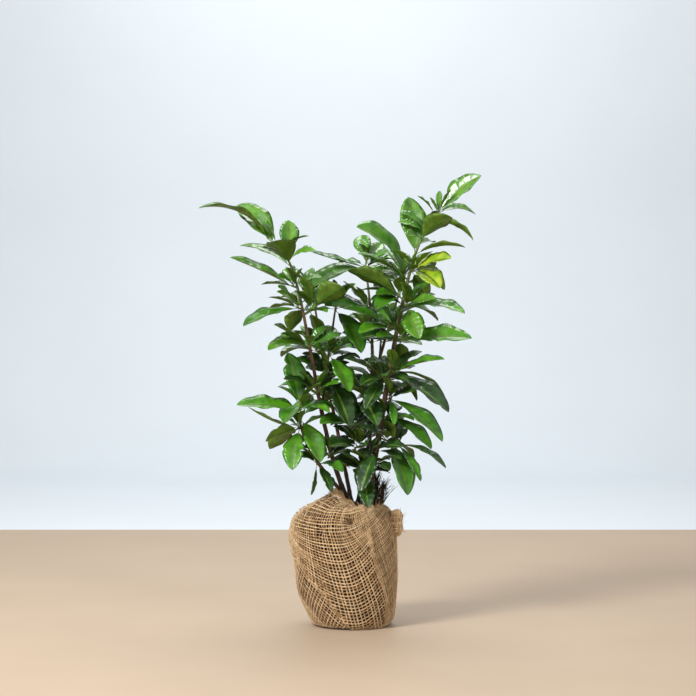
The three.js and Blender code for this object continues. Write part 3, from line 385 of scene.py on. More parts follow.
def leaf_frame(leaf, share):
    """Points, side directions and face directions at shares of the leaf's length."""
    share = np.asarray(share, dtype=float)
    chord, droop, roll = leaf["chord"], leaf["droop"], leaf["roll"]
    reach = np.linalg.norm(chord)
    heading = math.atan2(chord[1], chord[0])
    rise = math.asin(chord[2] / reach)
    arc = reach * (droop / 2 / math.sin(droop / 2))
    slope = rise + droop * (0.5 - share)
    first = rise + droop * 0.5
    out = arc * (math.sin(first) - np.sin(slope)) / droop
    lift = arc * (np.cos(slope) - math.cos(first)) / droop
    ahead = np.array([math.cos(heading), math.sin(heading), 0.0])
    flat = np.array([-math.sin(heading), math.cos(heading), 0.0])
    point = leaf["base"] + out[:, None] * ahead + lift[:, None] * UP
    raised = -np.sin(slope)[:, None] * ahead + np.cos(slope)[:, None] * UP
    side = math.cos(roll) * flat + math.sin(roll) * raised
    normal = math.cos(roll) * raised - math.sin(roll) * flat
    return point, side, normal


def blade_shape(share):
    """Half the blade's width at a share of the blade, against its widest."""
    return np.sin(np.pi * np.clip(share, 0, 1) ** WIDEST_TOWARD_BASE) ** BLADE_FULLNESS


def leaf_half_width(leaf, share):
    reach = np.linalg.norm(leaf["chord"])
    stalk = leaf.setdefault("stalk", PETIOLE) / reach
    blade = (share - stalk) / (1 - stalk)
    widest = 0.5 * LEAF_WIDTH_SHARE * reach * leaf["wide"]
    half = PETIOLE_HALF_WIDTH + (widest - PETIOLE_HALF_WIDTH) * blade_shape(blade)
    return np.where(blade <= 0, PETIOLE_HALF_WIDTH, half)


# %% [markdown]
# ## Leaves that keep clear of each other
# A leaf is only kept where its net passes no other net, no stem and no cloth. The net's
# lines stand a little off both faces of the blade, so a kept leaf has air around it. All
# pairs of lines and triangles are tested at once as arrays, because a test for each pair
# in plain Python would take minutes.

# %% Nets of test lines
def leaf_net(leaf):
    reach = np.linalg.norm(leaf["chord"])
    free = min(FREE_PETIOLE, reach / 2)
    share = mix(free / reach, 1, np.arange(TEST_STATIONS + 1) / TEST_STATIONS)
    point, side, normal = leaf_frame(leaf, share)
    half = leaf_half_width(leaf, share)
    half[-1] = TIP_HALF_WIDTH
    lift = (half * math.tan(LEAF_FOLD))[:, None] * normal
    reach_out = half[:, None] * side
    points = np.stack([point - reach_out + lift, point, point + reach_out + lift], axis=1)
    triangles = []
    for k in range(2):
        a, b, c, d = points[:-1, k], points[:-1, k + 1], points[1:, k], points[1:, k + 1]
        triangles += [np.stack([a, b, c], axis=1), np.stack([b, d, c], axis=1)]
    below = points - LEAF_CLEAR * normal[:, None]
    above = points + LEAF_CLEAR * normal[:, None]
    lines = [np.stack([below, above], axis=2).reshape(-1, 2, 3)]
    for layer in (below, above):
        lines.append(np.stack([layer[:, :-1], layer[:, 1:]], axis=2).reshape(-1, 2, 3))
        lines.append(np.stack([layer[:-1], layer[1:]], axis=2).reshape(-1, 2, 3))
    foot, foot_side, foot_normal = leaf_frame(leaf, [0, free / reach])
    offs = [foot_side[0], -foot_side[0], foot_normal[0], -foot_normal[0]]
    petiole = np.array([[foot[0] + LEAF_CLEAR * off, foot[1] + LEAF_CLEAR * off] for off in offs])
    between = (points[1:] + points[:-1]) / 2
    rows = np.concatenate([points, between])
    probes = np.concatenate([rows, (rows[:, 1:] + rows[:, :-1]) / 2], axis=1).reshape(-1, 3)
    net = {
        "triangles": np.concatenate(triangles),
        "lines": np.concatenate(lines),
        "petiole": petiole,
        "probes": probes,
    }
    everything = np.concatenate([net["lines"].reshape(-1, 3), petiole.reshape(-1, 3)])
    net["low"], net["high"] = everything.min(0), everything.max(0)
    return net


def any_pierces(lines, triangles):
    """Whether any line passes through any triangle."""
    ray = (lines[:, 1] - lines[:, 0])[:, None]
    start = lines[:, 0][:, None]
    a = triangles[None, :, 0]
    edge1 = triangles[None, :, 1] - a
    edge2 = triangles[None, :, 2] - a
    across = np.cross(ray, edge2)
    area = np.einsum("ijk,ijk->ij", np.broadcast_to(edge1, across.shape), across)
    area = np.where(np.abs(area) < 1e-9, np.inf, area)
    offset = start - a
    u = np.einsum("ijk,ijk->ij", offset, across) / area
    turned = np.cross(offset, edge1)
    v = np.einsum("ijk,ijk->ij", np.broadcast_to(ray, turned.shape), turned) / area
    t = np.einsum("ijk,ijk->ij", np.broadcast_to(edge2, turned.shape), turned) / area
    inside = (u >= 0) & (u <= 1) & (v >= 0) & (u + v <= 1) & (t >= 0) & (t <= 1)
    return bool((inside & np.isfinite(area)).any())


# %% [markdown]
# ## What a leaf must clear
# Stems and shoots are chains of tapering stretches. They are stacked into one table, so
# that a leaf's distance from all of them comes from one calculation. The ball is a stack
# of rings, each a height, a radius and a shift to the right. The crown's limits are rows
# of a height and how far left and right a leaf's tip may reach there.

# %% What a leaf must clear
SHOOT_FOOT_RADIUS = 1.9
SHOOT_TIP_RADIUS = 1.2
SHOOT_TEST_STEPS = 4
SHOOT_BEND = 0.4
SHOOT_SAG = 0.06
BALL_ROWS = [
    (0, 74, 9), (7, 83, 8), (40, 91, 5), (100, 101, 0), (160, 106, -5), (200, 105, -4),
    (222, 96, -3), (233, 80, 2), (237, 61, 14), (237, 45, 21),
]
BALL_DEPTH_SHARE = 0.97
REST_HEIGHT = 200
HIDDEN_STEPS = 16
PETIOLE_TESTS = (6, 10, 14)
CROWN_ROWS = [
    (225, -60, 70), (300, -120, 130), (400, -175, 190), (560, -165, 200), (700, -190, 190),
    (900, -190, 190),
]
CROWN_DEPTH_SHARE = 1.15


def stretches(chain):
    """The starts, the ways and the radii at both ends of a stem's or a shoot's stretches."""
    points = chain["points"]
    thick = np.linspace(*chain["radii"], len(points))
    return points[:-1], np.diff(points, axis=0), np.stack([thick[:-1], thick[1:]], axis=1)


def gaps(points, starts, ways, thick):
    """How far each point is from the skin of each stretch."""
    offset = points[:, None] - starts
    share = np.clip((offset * ways).sum(-1) / (ways**2).sum(-1), 0, 1)
    apart = np.linalg.norm(offset - share[..., None] * ways, axis=-1)
    return apart - mix(thick[:, 0], thick[:, 1], share)


def apart_from(points, chain):
    return gaps(points, *stretches(chain)).min(axis=1)


def hidden_share(curve, carrier):
    """The share of a shoot that is inside the stem, or too close to it for a leaf."""
    share = 0.0
    while share < 1 and apart_from(quadratic(curve, [share]), carrier)[0] < LIMB_CLEAR:
        share += 1 / HIDDEN_STEPS
    return share


shoots = []
for number, (name, limb, height, grow, rule, leaves) in enumerate(SHOOTS):
    carrier = limbs[limb]
    at_tip = height is None
    place = 1.0 if at_tip else place_at_height(carrier["curve"], height)
    tangent = cubic_slope(carrier["curve"], place)
    foot = cubic(carrier["curve"], place) + (GAP * tangent if at_tip else 0)
    tip = foot + np.array(grow, float)
    length = np.linalg.norm(tip - foot)
    if at_tip:
        bend = foot + SHOOT_BEND * length * tangent
    else:
        bend = (foot + tip) / 2 - SHOOT_SAG * length * UP
    curve = [foot, bend, tip]
    points = quadratic(curve, np.linspace(0, 1, SHOOT_TEST_STEPS + 1))
    shoots.append({
        "name": f"foliage_{name}", "number": number, "rule": rule, "leaves": leaves, "kept": [],
        "carrier": carrier, "curve": curve, "points": points,
        "radii": (carrier["radii"][1] if at_tip else SHOOT_FOOT_RADIUS, SHOOT_TIP_RADIUS),
        "hidden": 0 if at_tip else hidden_share(curve, carrier),
    })

chains = [*limbs.values(), *shoots]
ALL_STRETCHES = [np.concatenate(part) for part in zip(*map(stretches, chains))]
OWNERS = np.repeat([chain["name"] for chain in chains], [len(c["points"]) - 1 for c in chains])


def clear_of_limbs(probes, base, own_names):
    near_foot = np.linalg.norm(probes - base, axis=1) < FREE_FOOT
    exempt = near_foot[:, None] & np.isin(OWNERS, own_names)
    return not ((gaps(probes, *ALL_STRETCHES) < LIMB_CLEAR) & ~exempt).any()


def ball_top_at(points):
    rows = [(-radius, height) for height, radius, _ in BALL_ROWS if height >= REST_HEIGHT]
    apart = np.hypot(points[:, 0], points[:, 1] / BALL_DEPTH_SHARE)
    top = np.interp(-apart, *zip(*rows))
    return np.where(apart > -rows[0][0], 0, top)


def inside_crown(p):
    heights, lefts, rights = zip(*CROWN_ROWS)
    left, right = np.interp(p[2], heights, lefts), np.interp(p[2], heights, rights)
    half = (right - left) / 2
    across = (p[0] - (left + right) / 2) / half
    return across**2 + (p[1] / (half * CROWN_DEPTH_SHARE)) ** 2 <= 1


# %% [markdown]
# ## Setting the leaves
# The leaves of the outline come first, on every shoot, and then the seeded rule fills the
# rest: a spiral of 137.5 degrees down the shoot, steep at the tip and flat at the foot. A
# leaf that would touch something is turned a little, and left out if no turn helps.

# %% Setting the leaves
SPIRAL_TURN = 137.5
HEADING_JITTER = 18
RISE_AT_TIP = 55
RISE_AT_FOOT = 0
RISE_JITTER = 14
RULE_SIZE_SHARE = 0.25
RULE_REACH = 0.85
LENGTH_JITTER = 0.1
RULE_DROOP = 38
DROOP_JITTER = 14
RULE_FACE = 22
FACE_JITTER = 22
WIDTH_JITTER = 0.1
RULE_SEED = 7919
NUDGES = [0, 25, -25, 50, -50, 75, -75, 100, -100]
RISE_NUDGES = [0, 18, -18]
placed = []


class Draws:
    """One whole-number sequence, the same as the solids' own."""

    TIMES, PLUS, WRAP = 1664525, 1013904223, 4294967296

    def __init__(self, seed):
        self.state = seed
        self.next()
        self.next()

    def next(self):
        self.state = (self.state * self.TIMES + self.PLUS) % self.WRAP
        return self.state / self.WRAP

    def around(self, amount):
        return (self.next() * 2 - 1) * amount


def keep(shoot, leaf):
    """Keeps a leaf if its net is clear of its stem, the other limbs, the cloth and all leaves."""
    stalk, _, _ = leaf_frame(leaf, np.array(PETIOLE_TESTS) / np.linalg.norm(leaf["chord"]))
    if (apart_from(stalk, shoot["carrier"]) < GAP).any():
        return False
    net = leaf_net(leaf)
    own = [shoot["name"], shoot["carrier"]["name"]]
    if not clear_of_limbs(net["probes"], leaf["base"], own):
        return False
    if (net["probes"][:, 2] < ball_top_at(net["probes"]) + CLOTH_CLEAR).any():
        return False
    for other in placed:
        if (net["high"] < other["low"]).any() or (other["high"] < net["low"]).any():
            continue
        kinds = ("lines",) if other["shoot"] is shoot else ("lines", "petiole")
        for one, two in ((net, other), (other, net)):
            if any(any_pierces(one[kind], two["triangles"]) for kind in kinds):
                return False
    net["shoot"] = shoot
    placed.append(net)
    shoot["kept"].append(leaf)
    return True


def facing(right, face):
    """Turning a face to the front is a roll one way on the right, the other on the left."""
    return (-face if right < 0 else face) * DEGREE


def leaf_base(shoot, at):
    """A leaf starts on the part of its shoot that stands clear of the stem."""
    return quadratic(shoot["curve"], mix(shoot["hidden"], 1, at))


def outline_leaf(shoot, row):
    at, right, up, long, side, droop, face, wide = row
    back = side * math.sqrt(max(0, long * long - right * right - up * up))
    return {
        "base": leaf_base(shoot, at),
        "chord": np.array([right, back, up], float),
        "droop": droop * DEGREE,
        "roll": facing(right, face),
        "wide": wide,
    }


def rule_leaf(shoot, k, draws, turn, lift):
    count, size, first = shoot["rule"]
    down = (k + 0.5) / count
    heading = (first + SPIRAL_TURN * k + draws[0] + turn) * DEGREE
    rise = (mix(RISE_AT_TIP, RISE_AT_FOOT, down) + draws[1] + lift) * DEGREE
    long = size * (1 - RULE_SIZE_SHARE * (1 - down)) * (1 + draws[2])
    return {
        "base": leaf_base(shoot, 1 - RULE_REACH * down),
        "chord": long * toward(heading, rise),
        "droop": (RULE_DROOP + draws[3]) * DEGREE,
        "roll": facing(math.cos(heading), RULE_FACE + draws[4]),
        "wide": 1 + draws[5],
    }


def add_rule_leaf(shoot, k, draws):
    for lift in RISE_NUDGES:
        for turn in NUDGES:
            leaf = rule_leaf(shoot, k, draws, turn, lift)
            if inside_crown(leaf["base"] + leaf["chord"]) and keep(shoot, leaf):
                return


for shoot in shoots:
    for row in shoot["leaves"]:
        keep(shoot, outline_leaf(shoot, row))
JITTERS = (
    HEADING_JITTER, RISE_JITTER, LENGTH_JITTER, DROOP_JITTER, FACE_JITTER, WIDTH_JITTER,
)
for shoot in shoots:
    draw = Draws(RULE_SEED * (shoot["number"] + 1))
    for k in range(shoot["rule"][0]):
        add_rule_leaf(shoot, k, [draw.around(amount) for amount in JITTERS])
print(sum(len(shoot["kept"]) for shoot in shoots), "leaves on", len(shoots), "shoots")

# %% [markdown]
# ## Finishes
# A real surface is never one flat colour, so each finish here mixes a lighter and a darker
# tone by a noise that reads Object coordinates, and roughens its surface with a fine
# bump. Both live in one node group, built once and given its own tones by each material.

# %% Shared effect: mottled tones and fine relief
PATCH_EDGES = (0.32, 0.68)


def srgb(red, green, blue):
    """A colour as it shows on screen, from 0 to 255, in Blender's linear light."""
    shares = [value / 255 for value in (red, green, blue)]
    linear = [s / 12.92 if s <= 0.04045 else ((s + 0.055) / 1.055) ** 2.4 for s in shares]
    return (*linear, 1.0)


def add_node(tree, kind, sockets, **settings):
    """A new node: its settings, then each socket's value or the output that feeds it."""
    node = tree.nodes.new(kind)
    for setting, value in settings.items():
        setattr(node, setting, value)
    for socket, value in sockets.items():
        if isinstance(value, bpy.types.NodeSocket):
            tree.links.new(value, node.inputs[socket])
        else:
            node.inputs[socket].default_value = value
    return node


def map_range(tree, value, low, high):
    sockets = {"Value": value, "From Min": low, "From Max": high}
    return add_node(tree, "ShaderNodeMapRange", sockets).outputs["Result"]


def blend(tree, factor, a, b):
    sockets = {"Factor": factor, "A": a, "B": b}
    return add_node(tree, "ShaderNodeMix", sockets, data_type="RGBA").outputs["Result"]


def build_mottle_group():
    group = bpy.data.node_groups.new("mottled tones", "ShaderNodeTree")
    for name, kind, way in (
        ("Light", "Color", "INPUT"), ("Dark", "Color", "INPUT"), ("Patch Scale", "Float", "INPUT"),
        ("Relief Scale", "Float", "INPUT"), ("Relief", "Float", "INPUT"),
        ("Color", "Color", "OUTPUT"), ("Normal", "Vector", "OUTPUT"),
    ):
        group.interface.new_socket(name=name, in_out=way, socket_type=f"NodeSocket{kind}")
    given = group.nodes.new("NodeGroupInput").outputs
    place = group.nodes.new("ShaderNodeTexCoord").outputs["Object"]
    patches = {"Vector": place, "Scale": given["Patch Scale"], "Detail": 4}
    patches = add_node(group, "ShaderNodeTexNoise", patches).outputs["Fac"]
    lightness = map_range(group, patches, *PATCH_EDGES)
    tones = blend(group, lightness, given["Dark"], given["Light"])
    grain = {"Vector": place, "Scale": given["Relief Scale"], "Detail": 3}
    grain = add_node(group, "ShaderNodeTexNoise", grain).outputs["Fac"]
    bump = add_node(group, "ShaderNodeBump", {"Height": grain, "Distance": given["Relief"]})
    add_node(group, "NodeGroupOutput", {"Color": tones, "Normal": bump.outputs["Normal"]})
    return group


mottle = build_mottle_group()
print("mottled tones:", len(mottle.nodes), "nodes in one group")


def new_look(name, roughness, coat=0.0, coat_roughness=0.3, sheen=0.0):
    look = bpy.data.materials.new(name)
    look.use_nodes = True
    shader = look.node_tree.nodes["Principled BSDF"]
    shader.inputs["Roughness"].default_value = roughness
    shader.inputs["Coat Weight"].default_value = coat
    shader.inputs["Coat Roughness"].default_value = coat_roughness
    shader.inputs["Sheen Weight"].default_value = sheen
    return look, shader


def mottled(tree, light, dark, patch, grain, relief):
    """The shared group with its own tones: outputs Color and Normal."""
    sockets = {"Light": srgb(*light), "Dark": srgb(*dark), "Patch Scale": patch,
               "Relief Scale": grain, "Relief": relief}
    return add_node(tree, "ShaderNodeGroup", sockets, node_tree=mottle).outputs


def mottled_look(name, light, dark, patch, grain, relief, **shine):
    look, shader = new_look(name, **shine)
    tree = look.node_tree
    tones = mottled(tree, light, dark, patch, grain, relief)
    tree.links.new(tones["Color"], shader.inputs["Base Color"])
    tree.links.new(tones["Normal"], shader.inputs["Normal"])
    return look


# %% [markdown]
# ## Leaf finishes
# A grown leaf of this evergreen is leathery and glossy above, with a whitish sheen where
# the sky lies in it, and dull olive below. New leaves are yellow-green. A few plain tints
# dealt out by shoot give that range, and they also carry painted light and shade: brighter
# tints high up and on lit shoots, near-black painted shade in the heart of the crown. A
# tint is its light and its dark tone. The dull greens also have the size of their patches
# and of their grain, the height of the grain in metres, and their roughness.

# %% Leaf finishes
# bright, fresh_lit, middle and dark are steps of one leaf green, partly leaf age and partly painted
# light and shade; yellowing is the leaf's own colour.
LEAF_TINTS = {
    "bright": ((92, 146, 16), (50, 106, 4)),
    "fresh_lit": ((86, 148, 16), (48, 108, 4)),
    "middle": ((68, 132, 14), (34, 84, 5)),
    "dark": ((42, 84, 18), (18, 46, 6)),
    "yellowing": ((176, 192, 44), (112, 152, 12)),
}
LEATHER = dict(patch=45, grain=900, relief=0.00012)
GLOSS = dict(roughness=0.42, coat=0.7, coat_roughness=0.16)
DULL_GREENS = {
    "leaf underside": ((98, 130, 36), (64, 94, 11), 60, 900, 0.0001, 0.6),
    "rib and stalk": ((104, 140, 66), (66, 104, 34), 70, 900, 0.0001, 0.5),
    "green shoot": ((116, 132, 66), (78, 94, 40), 60, 700, 0.0002, 0.55),
    "bud": ((132, 140, 70), (96, 84, 48), 300, 900, 0.0002, 0.5),
}
leaf_looks = [
    mottled_look(f"leaf {tint}", *tones, **LEATHER, **GLOSS) for tint, tones in LEAF_TINTS.items()
]
underside_look, rib_look, shoot_look, bud_look = (
    mottled_look(name, *tones, roughness=roughness)
    for name, (*tones, roughness) in DULL_GREENS.items()
)
print(len(LEAF_TINTS) + len(DULL_GREENS), "leaf and shoot finishes")

# %% [markdown]
# ## The blade
# A leaf of this shrub is a long ellipse, folded along a pale rib, its margins rolled down
# a little and its surface quilted between side veins. Each blade is built as two skins
# that meet at the edge: an upper skin with the quilting, and a plainer lower one. Writing
# them as arrays lets every leaf have its own size, droop, waves and roll, which copies of
# one modelled leaf wouldn't have.

# %% One blade
BLADE_STEPS = 28
UPPER_COLUMNS = np.array([-1, -0.66, -0.33, 0, 0.33, 0.66, 1.0])
LOWER_COLUMNS = np.array([-0.6, -0.12, 0.12, 0.6])
FOLD_CURVE = 0.82
VEIN_PAIRS = 7
VEIN_SLANT = 0.9
VEIN_RELIEF = 0.0058
LOWER_SKIN_DEPTH = 0.0075
EDGE_WAVE = 0.1
SIDE_SWAY = 0.028
EDGE_WAVES = (1.5, 3.2)
BITE_SHARE = 0.18
BITE_PLACE = (0.2, 0.9)
BITE_WIDTH = (0.025, 0.05)
BITE_DEPTH = (0.15, 0.45)
LEAST_LEFT = 0.3
BITES_ON_BITTEN = 3
BITTEN_SHOOTS = ("foliage_low_left_mid", "foliage_low_left_foot")
BASE_HALF_WIDTH = 0.6


def bitten_margins(blade, bites, chance):
    """How wide both halves of a blade still are where insects have eaten the margin."""
    left, right = np.ones(len(blade)), np.ones(len(blade))
    for _ in range(bites):
        side = left if chance.random() < 0.5 else right
        place, width = chance.uniform(*BITE_PLACE), chance.uniform(*BITE_WIDTH)
        side -= chance.uniform(*BITE_DEPTH) * bump_at(blade - place, width)
    return np.clip(left, LEAST_LEFT, 1), np.clip(right, LEAST_LEFT, 1)


def blade_points(leaf, bites, chance):
    """The vertices of one blade: the upper rows, the lower rows and the tip."""
    reach = np.linalg.norm(leaf["chord"])
    blade = np.arange(BLADE_STEPS) / BLADE_STEPS
    share = mix(leaf["stalk"] / reach, 1, blade)
    point, side, normal = leaf_frame(leaf, share)
    half = leaf_half_width(leaf, share)
    half[0] = BASE_HALF_WIDTH
    sway = chance.uniform(-1, 1) * SIDE_SWAY * reach * np.sin(np.pi * blade)
    middle = point + sway[:, None] * side
    leaf["sway"] = middle
    waves = chance.uniform(*EDGE_WAVES)
    phases = chance.uniform(0, 2 * np.pi, 2)
    swell = np.sin(np.pi * blade)[:, None]
    left, right = bitten_margins(blade, bites, chance)

    def across(columns, veins):
        x = columns[None, :]
        lift = np.abs(x) ** FOLD_CURVE * (half * math.tan(LEAF_FOLD))[:, None]
        phase = np.where(x < 0, phases[0], phases[1])
        wave = np.sin(2 * np.pi * waves * blade[:, None] + phase) * swell
        lift = lift + EDGE_WAVE * half[:, None] * wave * x**2
        if veins:
            along = blade[:, None] * VEIN_PAIRS - VEIN_SLANT * np.abs(x)
            between = np.sin(np.pi * np.abs(x) ** 0.8) * swell
            lift = lift + VEIN_RELIEF * reach * np.cos(2 * np.pi * along) * between
        kept = np.where(x < 0, left[:, None], right[:, None])
        outward = (x * kept * half[:, None])[..., None] * side[:, None]
        return middle[:, None] + outward + lift[..., None] * normal[:, None]

    upper = across(UPPER_COLUMNS, veins=True)
    lower = across(LOWER_COLUMNS, veins=False)
    depth = LOWER_SKIN_DEPTH * reach * np.sqrt(1 - blade)
    lower -= (depth[:, None] * normal)[:, None]
    tip = leaf_frame(leaf, [1.0])[0]
    return np.concatenate([upper.reshape(-1, 3), lower.reshape(-1, 3), tip])


def fan(store, *ring):
    """Triangles of a ring of corners, leaving out the flat ones at a tip."""
    for k in range(1, len(ring) - 1):
        if len({ring[0], ring[k], ring[k + 1]}) == 3:
            store.append((ring[0], ring[k], ring[k + 1]))


def blade_faces():
    """The triangles of one blade: those of the upper skin, and those of the lower."""
    columns, low_columns = len(UPPER_COLUMNS), len(LOWER_COLUMNS)
    lower_start = BLADE_STEPS * columns
    tip = lower_start + BLADE_STEPS * low_columns
    upper, lower = [], []

    def at(row, column):
        return tip if row == BLADE_STEPS else row * columns + column

    def under(row, column):
        if row == BLADE_STEPS:
            return tip
        if column == 0:
            return at(row, 0)
        if column == low_columns + 1:
            return at(row, columns - 1)
        return lower_start + row * low_columns + column - 1

    for row in range(BLADE_STEPS):
        for k in range(columns - 1):
            fan(upper, at(row, k), at(row + 1, k), at(row + 1, k + 1), at(row, k + 1))
        for k in range(low_columns + 1):
            fan(lower, under(row, k), under(row, k + 1), under(row + 1, k + 1), under(row + 1, k))
    base_rim = [under(0, k) for k in range(low_columns, 0, -1)]
    fan(lower, *[at(0, k) for k in range(columns)], *base_rim)
    return np.array(upper), np.array(lower)


UPPER_FACES, LOWER_FACES = blade_faces()
print(len(UPPER_FACES) + len(LOWER_FACES), "triangles a blade")

# %% [markdown]
# ## Tubes
# Stalks, shoots, fibres and the threads of the burlap are all tubes along a line of
# points. A curve with a bevel would make one as by hand, but there are thousands, so one
# function writes them as arrays: rings square to the line, round or flattened, with their
# ends closed.

# %% Tubes
def tube(line, radii, sides, face=None, flat=1.0):
    """Points and triangles of a tube. `face` points away from a flat tube's broad side."""
    line = np.asarray(line, float)
    radii = np.broadcast_to(np.asarray(radii, float), (len(line),))
    tangent = unit(np.gradient(line, axis=0))
    if face is None:
        guide = np.array([1.0, 0, 0]) if abs(tangent[0][0]) < 0.8 else np.array([0, 1.0, 0])
        face = np.broadcast_to(guide, line.shape)
    side = unit(np.cross(face, tangent))
    face = np.cross(tangent, side)
    angle = 2 * np.pi * np.arange(sides) / sides
    ring = (
        np.cos(angle)[None, :, None] * side[:, None]
        + flat * np.sin(angle)[None, :, None] * face[:, None]
    )
    points = line[:, None] + radii[:, None, None] * ring
    rows = np.arange(len(line) - 1)[:, None] * sides
    k = np.arange(sides)[None, :]
    a, b = rows + k, rows + (k + 1) % sides
    walls = [np.stack([a, b, b + sides], axis=-1), np.stack([a, b + sides, a + sides], axis=-1)]
    last = (len(line) - 1) * sides
    caps = []
    for j in range(1, sides - 1):
        caps += [(0, j + 1, j), (last, last + j, last + j + 1)]
    faces = np.concatenate([*(w.reshape(-1, 3) for w in walls), np.array(caps)])
    return points.reshape(-1, 3), faces


class Bundle:
    """Gathers many small shapes into the arrays of one mesh."""

    def __init__(self):
        self.points, self.faces, self.looks, self.count = [], [], [], 0

    def add(self, points, faces, look=0):
        self.points.append(points)
        self.faces.append(faces + self.count)
        self.looks.append(np.full(len(faces), look))
        self.count += len(points)

    def piece(self, name, looks):
        return mesh_piece(
            name, np.concatenate(self.points), np.concatenate(self.faces), looks,
            np.concatenate(self.looks),
        )


# %% [markdown]
# ## Finer leaves by the same rule
# The solids carry the leaves that make the crown's shape. The plant also has smaller
# leaves inside, and a pair of young, half-folded ones at each shoot's tip. They grow by
# the same spiral and pass the same test, so they only fill space that is free.

# %% Finer leaves by the same rule
INNER_LEAVES = 5
INNER_SIZE = 0.85
INNER_TURN = 61
INNER_SEED = 104729
YOUNG_LEAVES = 2
YOUNG_LENGTH = 34
YOUNG_STALK = 5
YOUNG_RISE = 66
YOUNG_DROOP = 20
YOUNG_WIDE = 0.8

for shoot in shoots:
    draw = Draws(INNER_SEED * (shoot["number"] + 1))
    count, size, first = shoot["rule"]
    shoot["rule"] = (INNER_LEAVES, size * INNER_SIZE, first + INNER_TURN)
    for k in range(INNER_LEAVES):
        add_rule_leaf(shoot, k, [draw.around(amount) for amount in JITTERS])
    for k in range(YOUNG_LEAVES):
        turn = (first + 90 + 180 * k) * DEGREE + draw.around(0.5)
        rise = (YOUNG_RISE + draw.around(12)) * DEGREE
        keep(shoot, {
            "base": quadratic(shoot["curve"], 0.99),
            "chord": YOUNG_LENGTH * (1 + draw.around(0.2)) * toward(turn, rise),
            "droop": (YOUNG_DROOP + draw.around(8)) * DEGREE,
            "roll": draw.around(0.4),
            "wide": YOUNG_WIDE,
            "stalk": YOUNG_STALK,
        })
print(sum(len(shoot["kept"]) for shoot in shoots), "leaves in all")

# %% [markdown]
# ## Tints dealt out by shoot
# The tints carry painted light and shade: the upper shoots stand in full light and get the
# brightest tints, the low shoots on the left lean out into the light and get one tint
# brighter, and the heart of the crown gets one tint darker as painted shade. One shoot on
# the right is turning yellow. A seeded draw moves some leaves one tint up or down, as on
# the plant.

# %% Tints dealt out by shoot
TINT_ORDER = ["dark", "middle", "fresh_lit", "bright"]
SHOOT_TINTS = {"foliage_yellowing": "yellowing"}
LIT_SHOOTS = ("foliage_low_left_tip", "foliage_low_left_mid")
# Heights that set painted light and shade: lower shoots darker, higher ones brighter.
DARK_BELOW = 370
FRESH_LIT_ABOVE = 520
BRIGHT_ABOVE = 690
HEART_RADIUS = 85
MIDDLE_OF_LEAF = 0.6
YELLOWED_SHARE = 0.95
chance = np.random.default_rng(11)


def leaf_tint(shoot, leaf):
    if shoot["name"] in SHOOT_TINTS and chance.random() < YELLOWED_SHARE:
        return SHOOT_TINTS[shoot["name"]]
    height = shoot["curve"][2][2]
    # Higher shoots get brighter tints and lower ones darker: painted light and shade, with leaf
    # age.
    level = int(np.searchsorted([DARK_BELOW, FRESH_LIT_ABOVE, BRIGHT_ABOVE], height))
    # Shoots that lean out into the light go one tint brighter: painted light.
    level += shoot["name"] in LIT_SHOOTS
    # A leaf in the heart of the crown goes one tint darker: painted shade.
    middle = leaf["base"] + MIDDLE_OF_LEAF * leaf["chord"]
    if math.hypot(middle[0] - COLLAR_CENTRE[0], middle[1]) < HEART_RADIUS:
        level -= 1
    level += int(chance.choice([-1, 0, 0, 1]))
    return TINT_ORDER[min(len(TINT_ORDER) - 1, max(0, level))]


# %% [markdown]
# ## The crown, in four pieces
# The leaves are joined by the stems that carry them, so each piece stands for those
# masses of the solid model, and stays well under the size where its file would be thinned.

# %% The crown, in four pieces
CROWN_PARTS = {
    "right": ["stem_right"],
    "left": ["stem_left", "branch_low_left", "stem_left_inner"],
    "middle": ["stem_middle", "stem_middle_back"],
    "back": ["stem_back", "stem_back_left"],
}
TINTS = list(LEAF_TINTS)
RIB_STEPS = 10
RIB_REACH = 0.9
RIB_SIDES = 5
RIB_RADII = (0.8, 0.2)
RIB_SINK = 0.55
FULL_RIB_FROM = 90


def add_rib(bundle, leaf):
    """The stalk and the rib that goes on from it under the blade."""
    reach = np.linalg.norm(leaf["chord"])
    scale = min(1.0, reach / FULL_RIB_FROM)
    share = np.linspace(0, RIB_REACH, RIB_STEPS)
    point, side, normal = leaf_frame(leaf, share)
    stalk = leaf["stalk"] / reach
    blade = np.clip((share - stalk) / (1 - stalk), 0, 1)
    rows = np.arange(BLADE_STEPS) / BLADE_STEPS
    for axis in range(3):
        swayed = np.interp(blade, rows, leaf["sway"][:, axis])
        point[:, axis] = np.where(blade > 0, swayed, point[:, axis])
    radii = np.linspace(*RIB_RADII, RIB_STEPS) * scale
    point -= (RIB_SINK * radii)[:, None] * normal
    bundle.add(*tube(point, radii, RIB_SIDES, normal))


for part, carriers in CROWN_PARTS.items():
    masses = [shoot for shoot in shoots if shoot["carrier"]["name"] in carriers]
    blades, ribs = Bundle(), Bundle()
    for shoot in masses:
        for leaf in shoot["kept"]:
            if shoot["name"] in BITTEN_SHOOTS:
                bites = BITES_ON_BITTEN
            else:
                bites = int(chance.random() < BITE_SHARE)
            points = blade_points(leaf, bites, chance)
            blades.add(points, UPPER_FACES, TINTS.index(leaf_tint(shoot, leaf)))
            blades.faces.append(LOWER_FACES + blades.count - len(points))
            blades.looks.append(np.full(len(LOWER_FACES), len(TINTS)))
            add_rib(ribs, leaf)
    leaves = blades.piece(f"leaves_{part}", [*leaf_looks, underside_look])
    finish_piece(leaves, [shoot["name"] for shoot in masses])
    finish_piece(ribs.piece(f"leaf_ribs_{part}", [rib_look]))

# %% [markdown]
# ## Green shoots and buds
# A shoot is a tapering green twig, a little thicker where its leaves leave it, with a bud
# in every other leaf's corner and a larger one at its tip. They are small and many, so
# they are tubes joined into one mesh each, where modelling them one by one by hand would
# take a day.

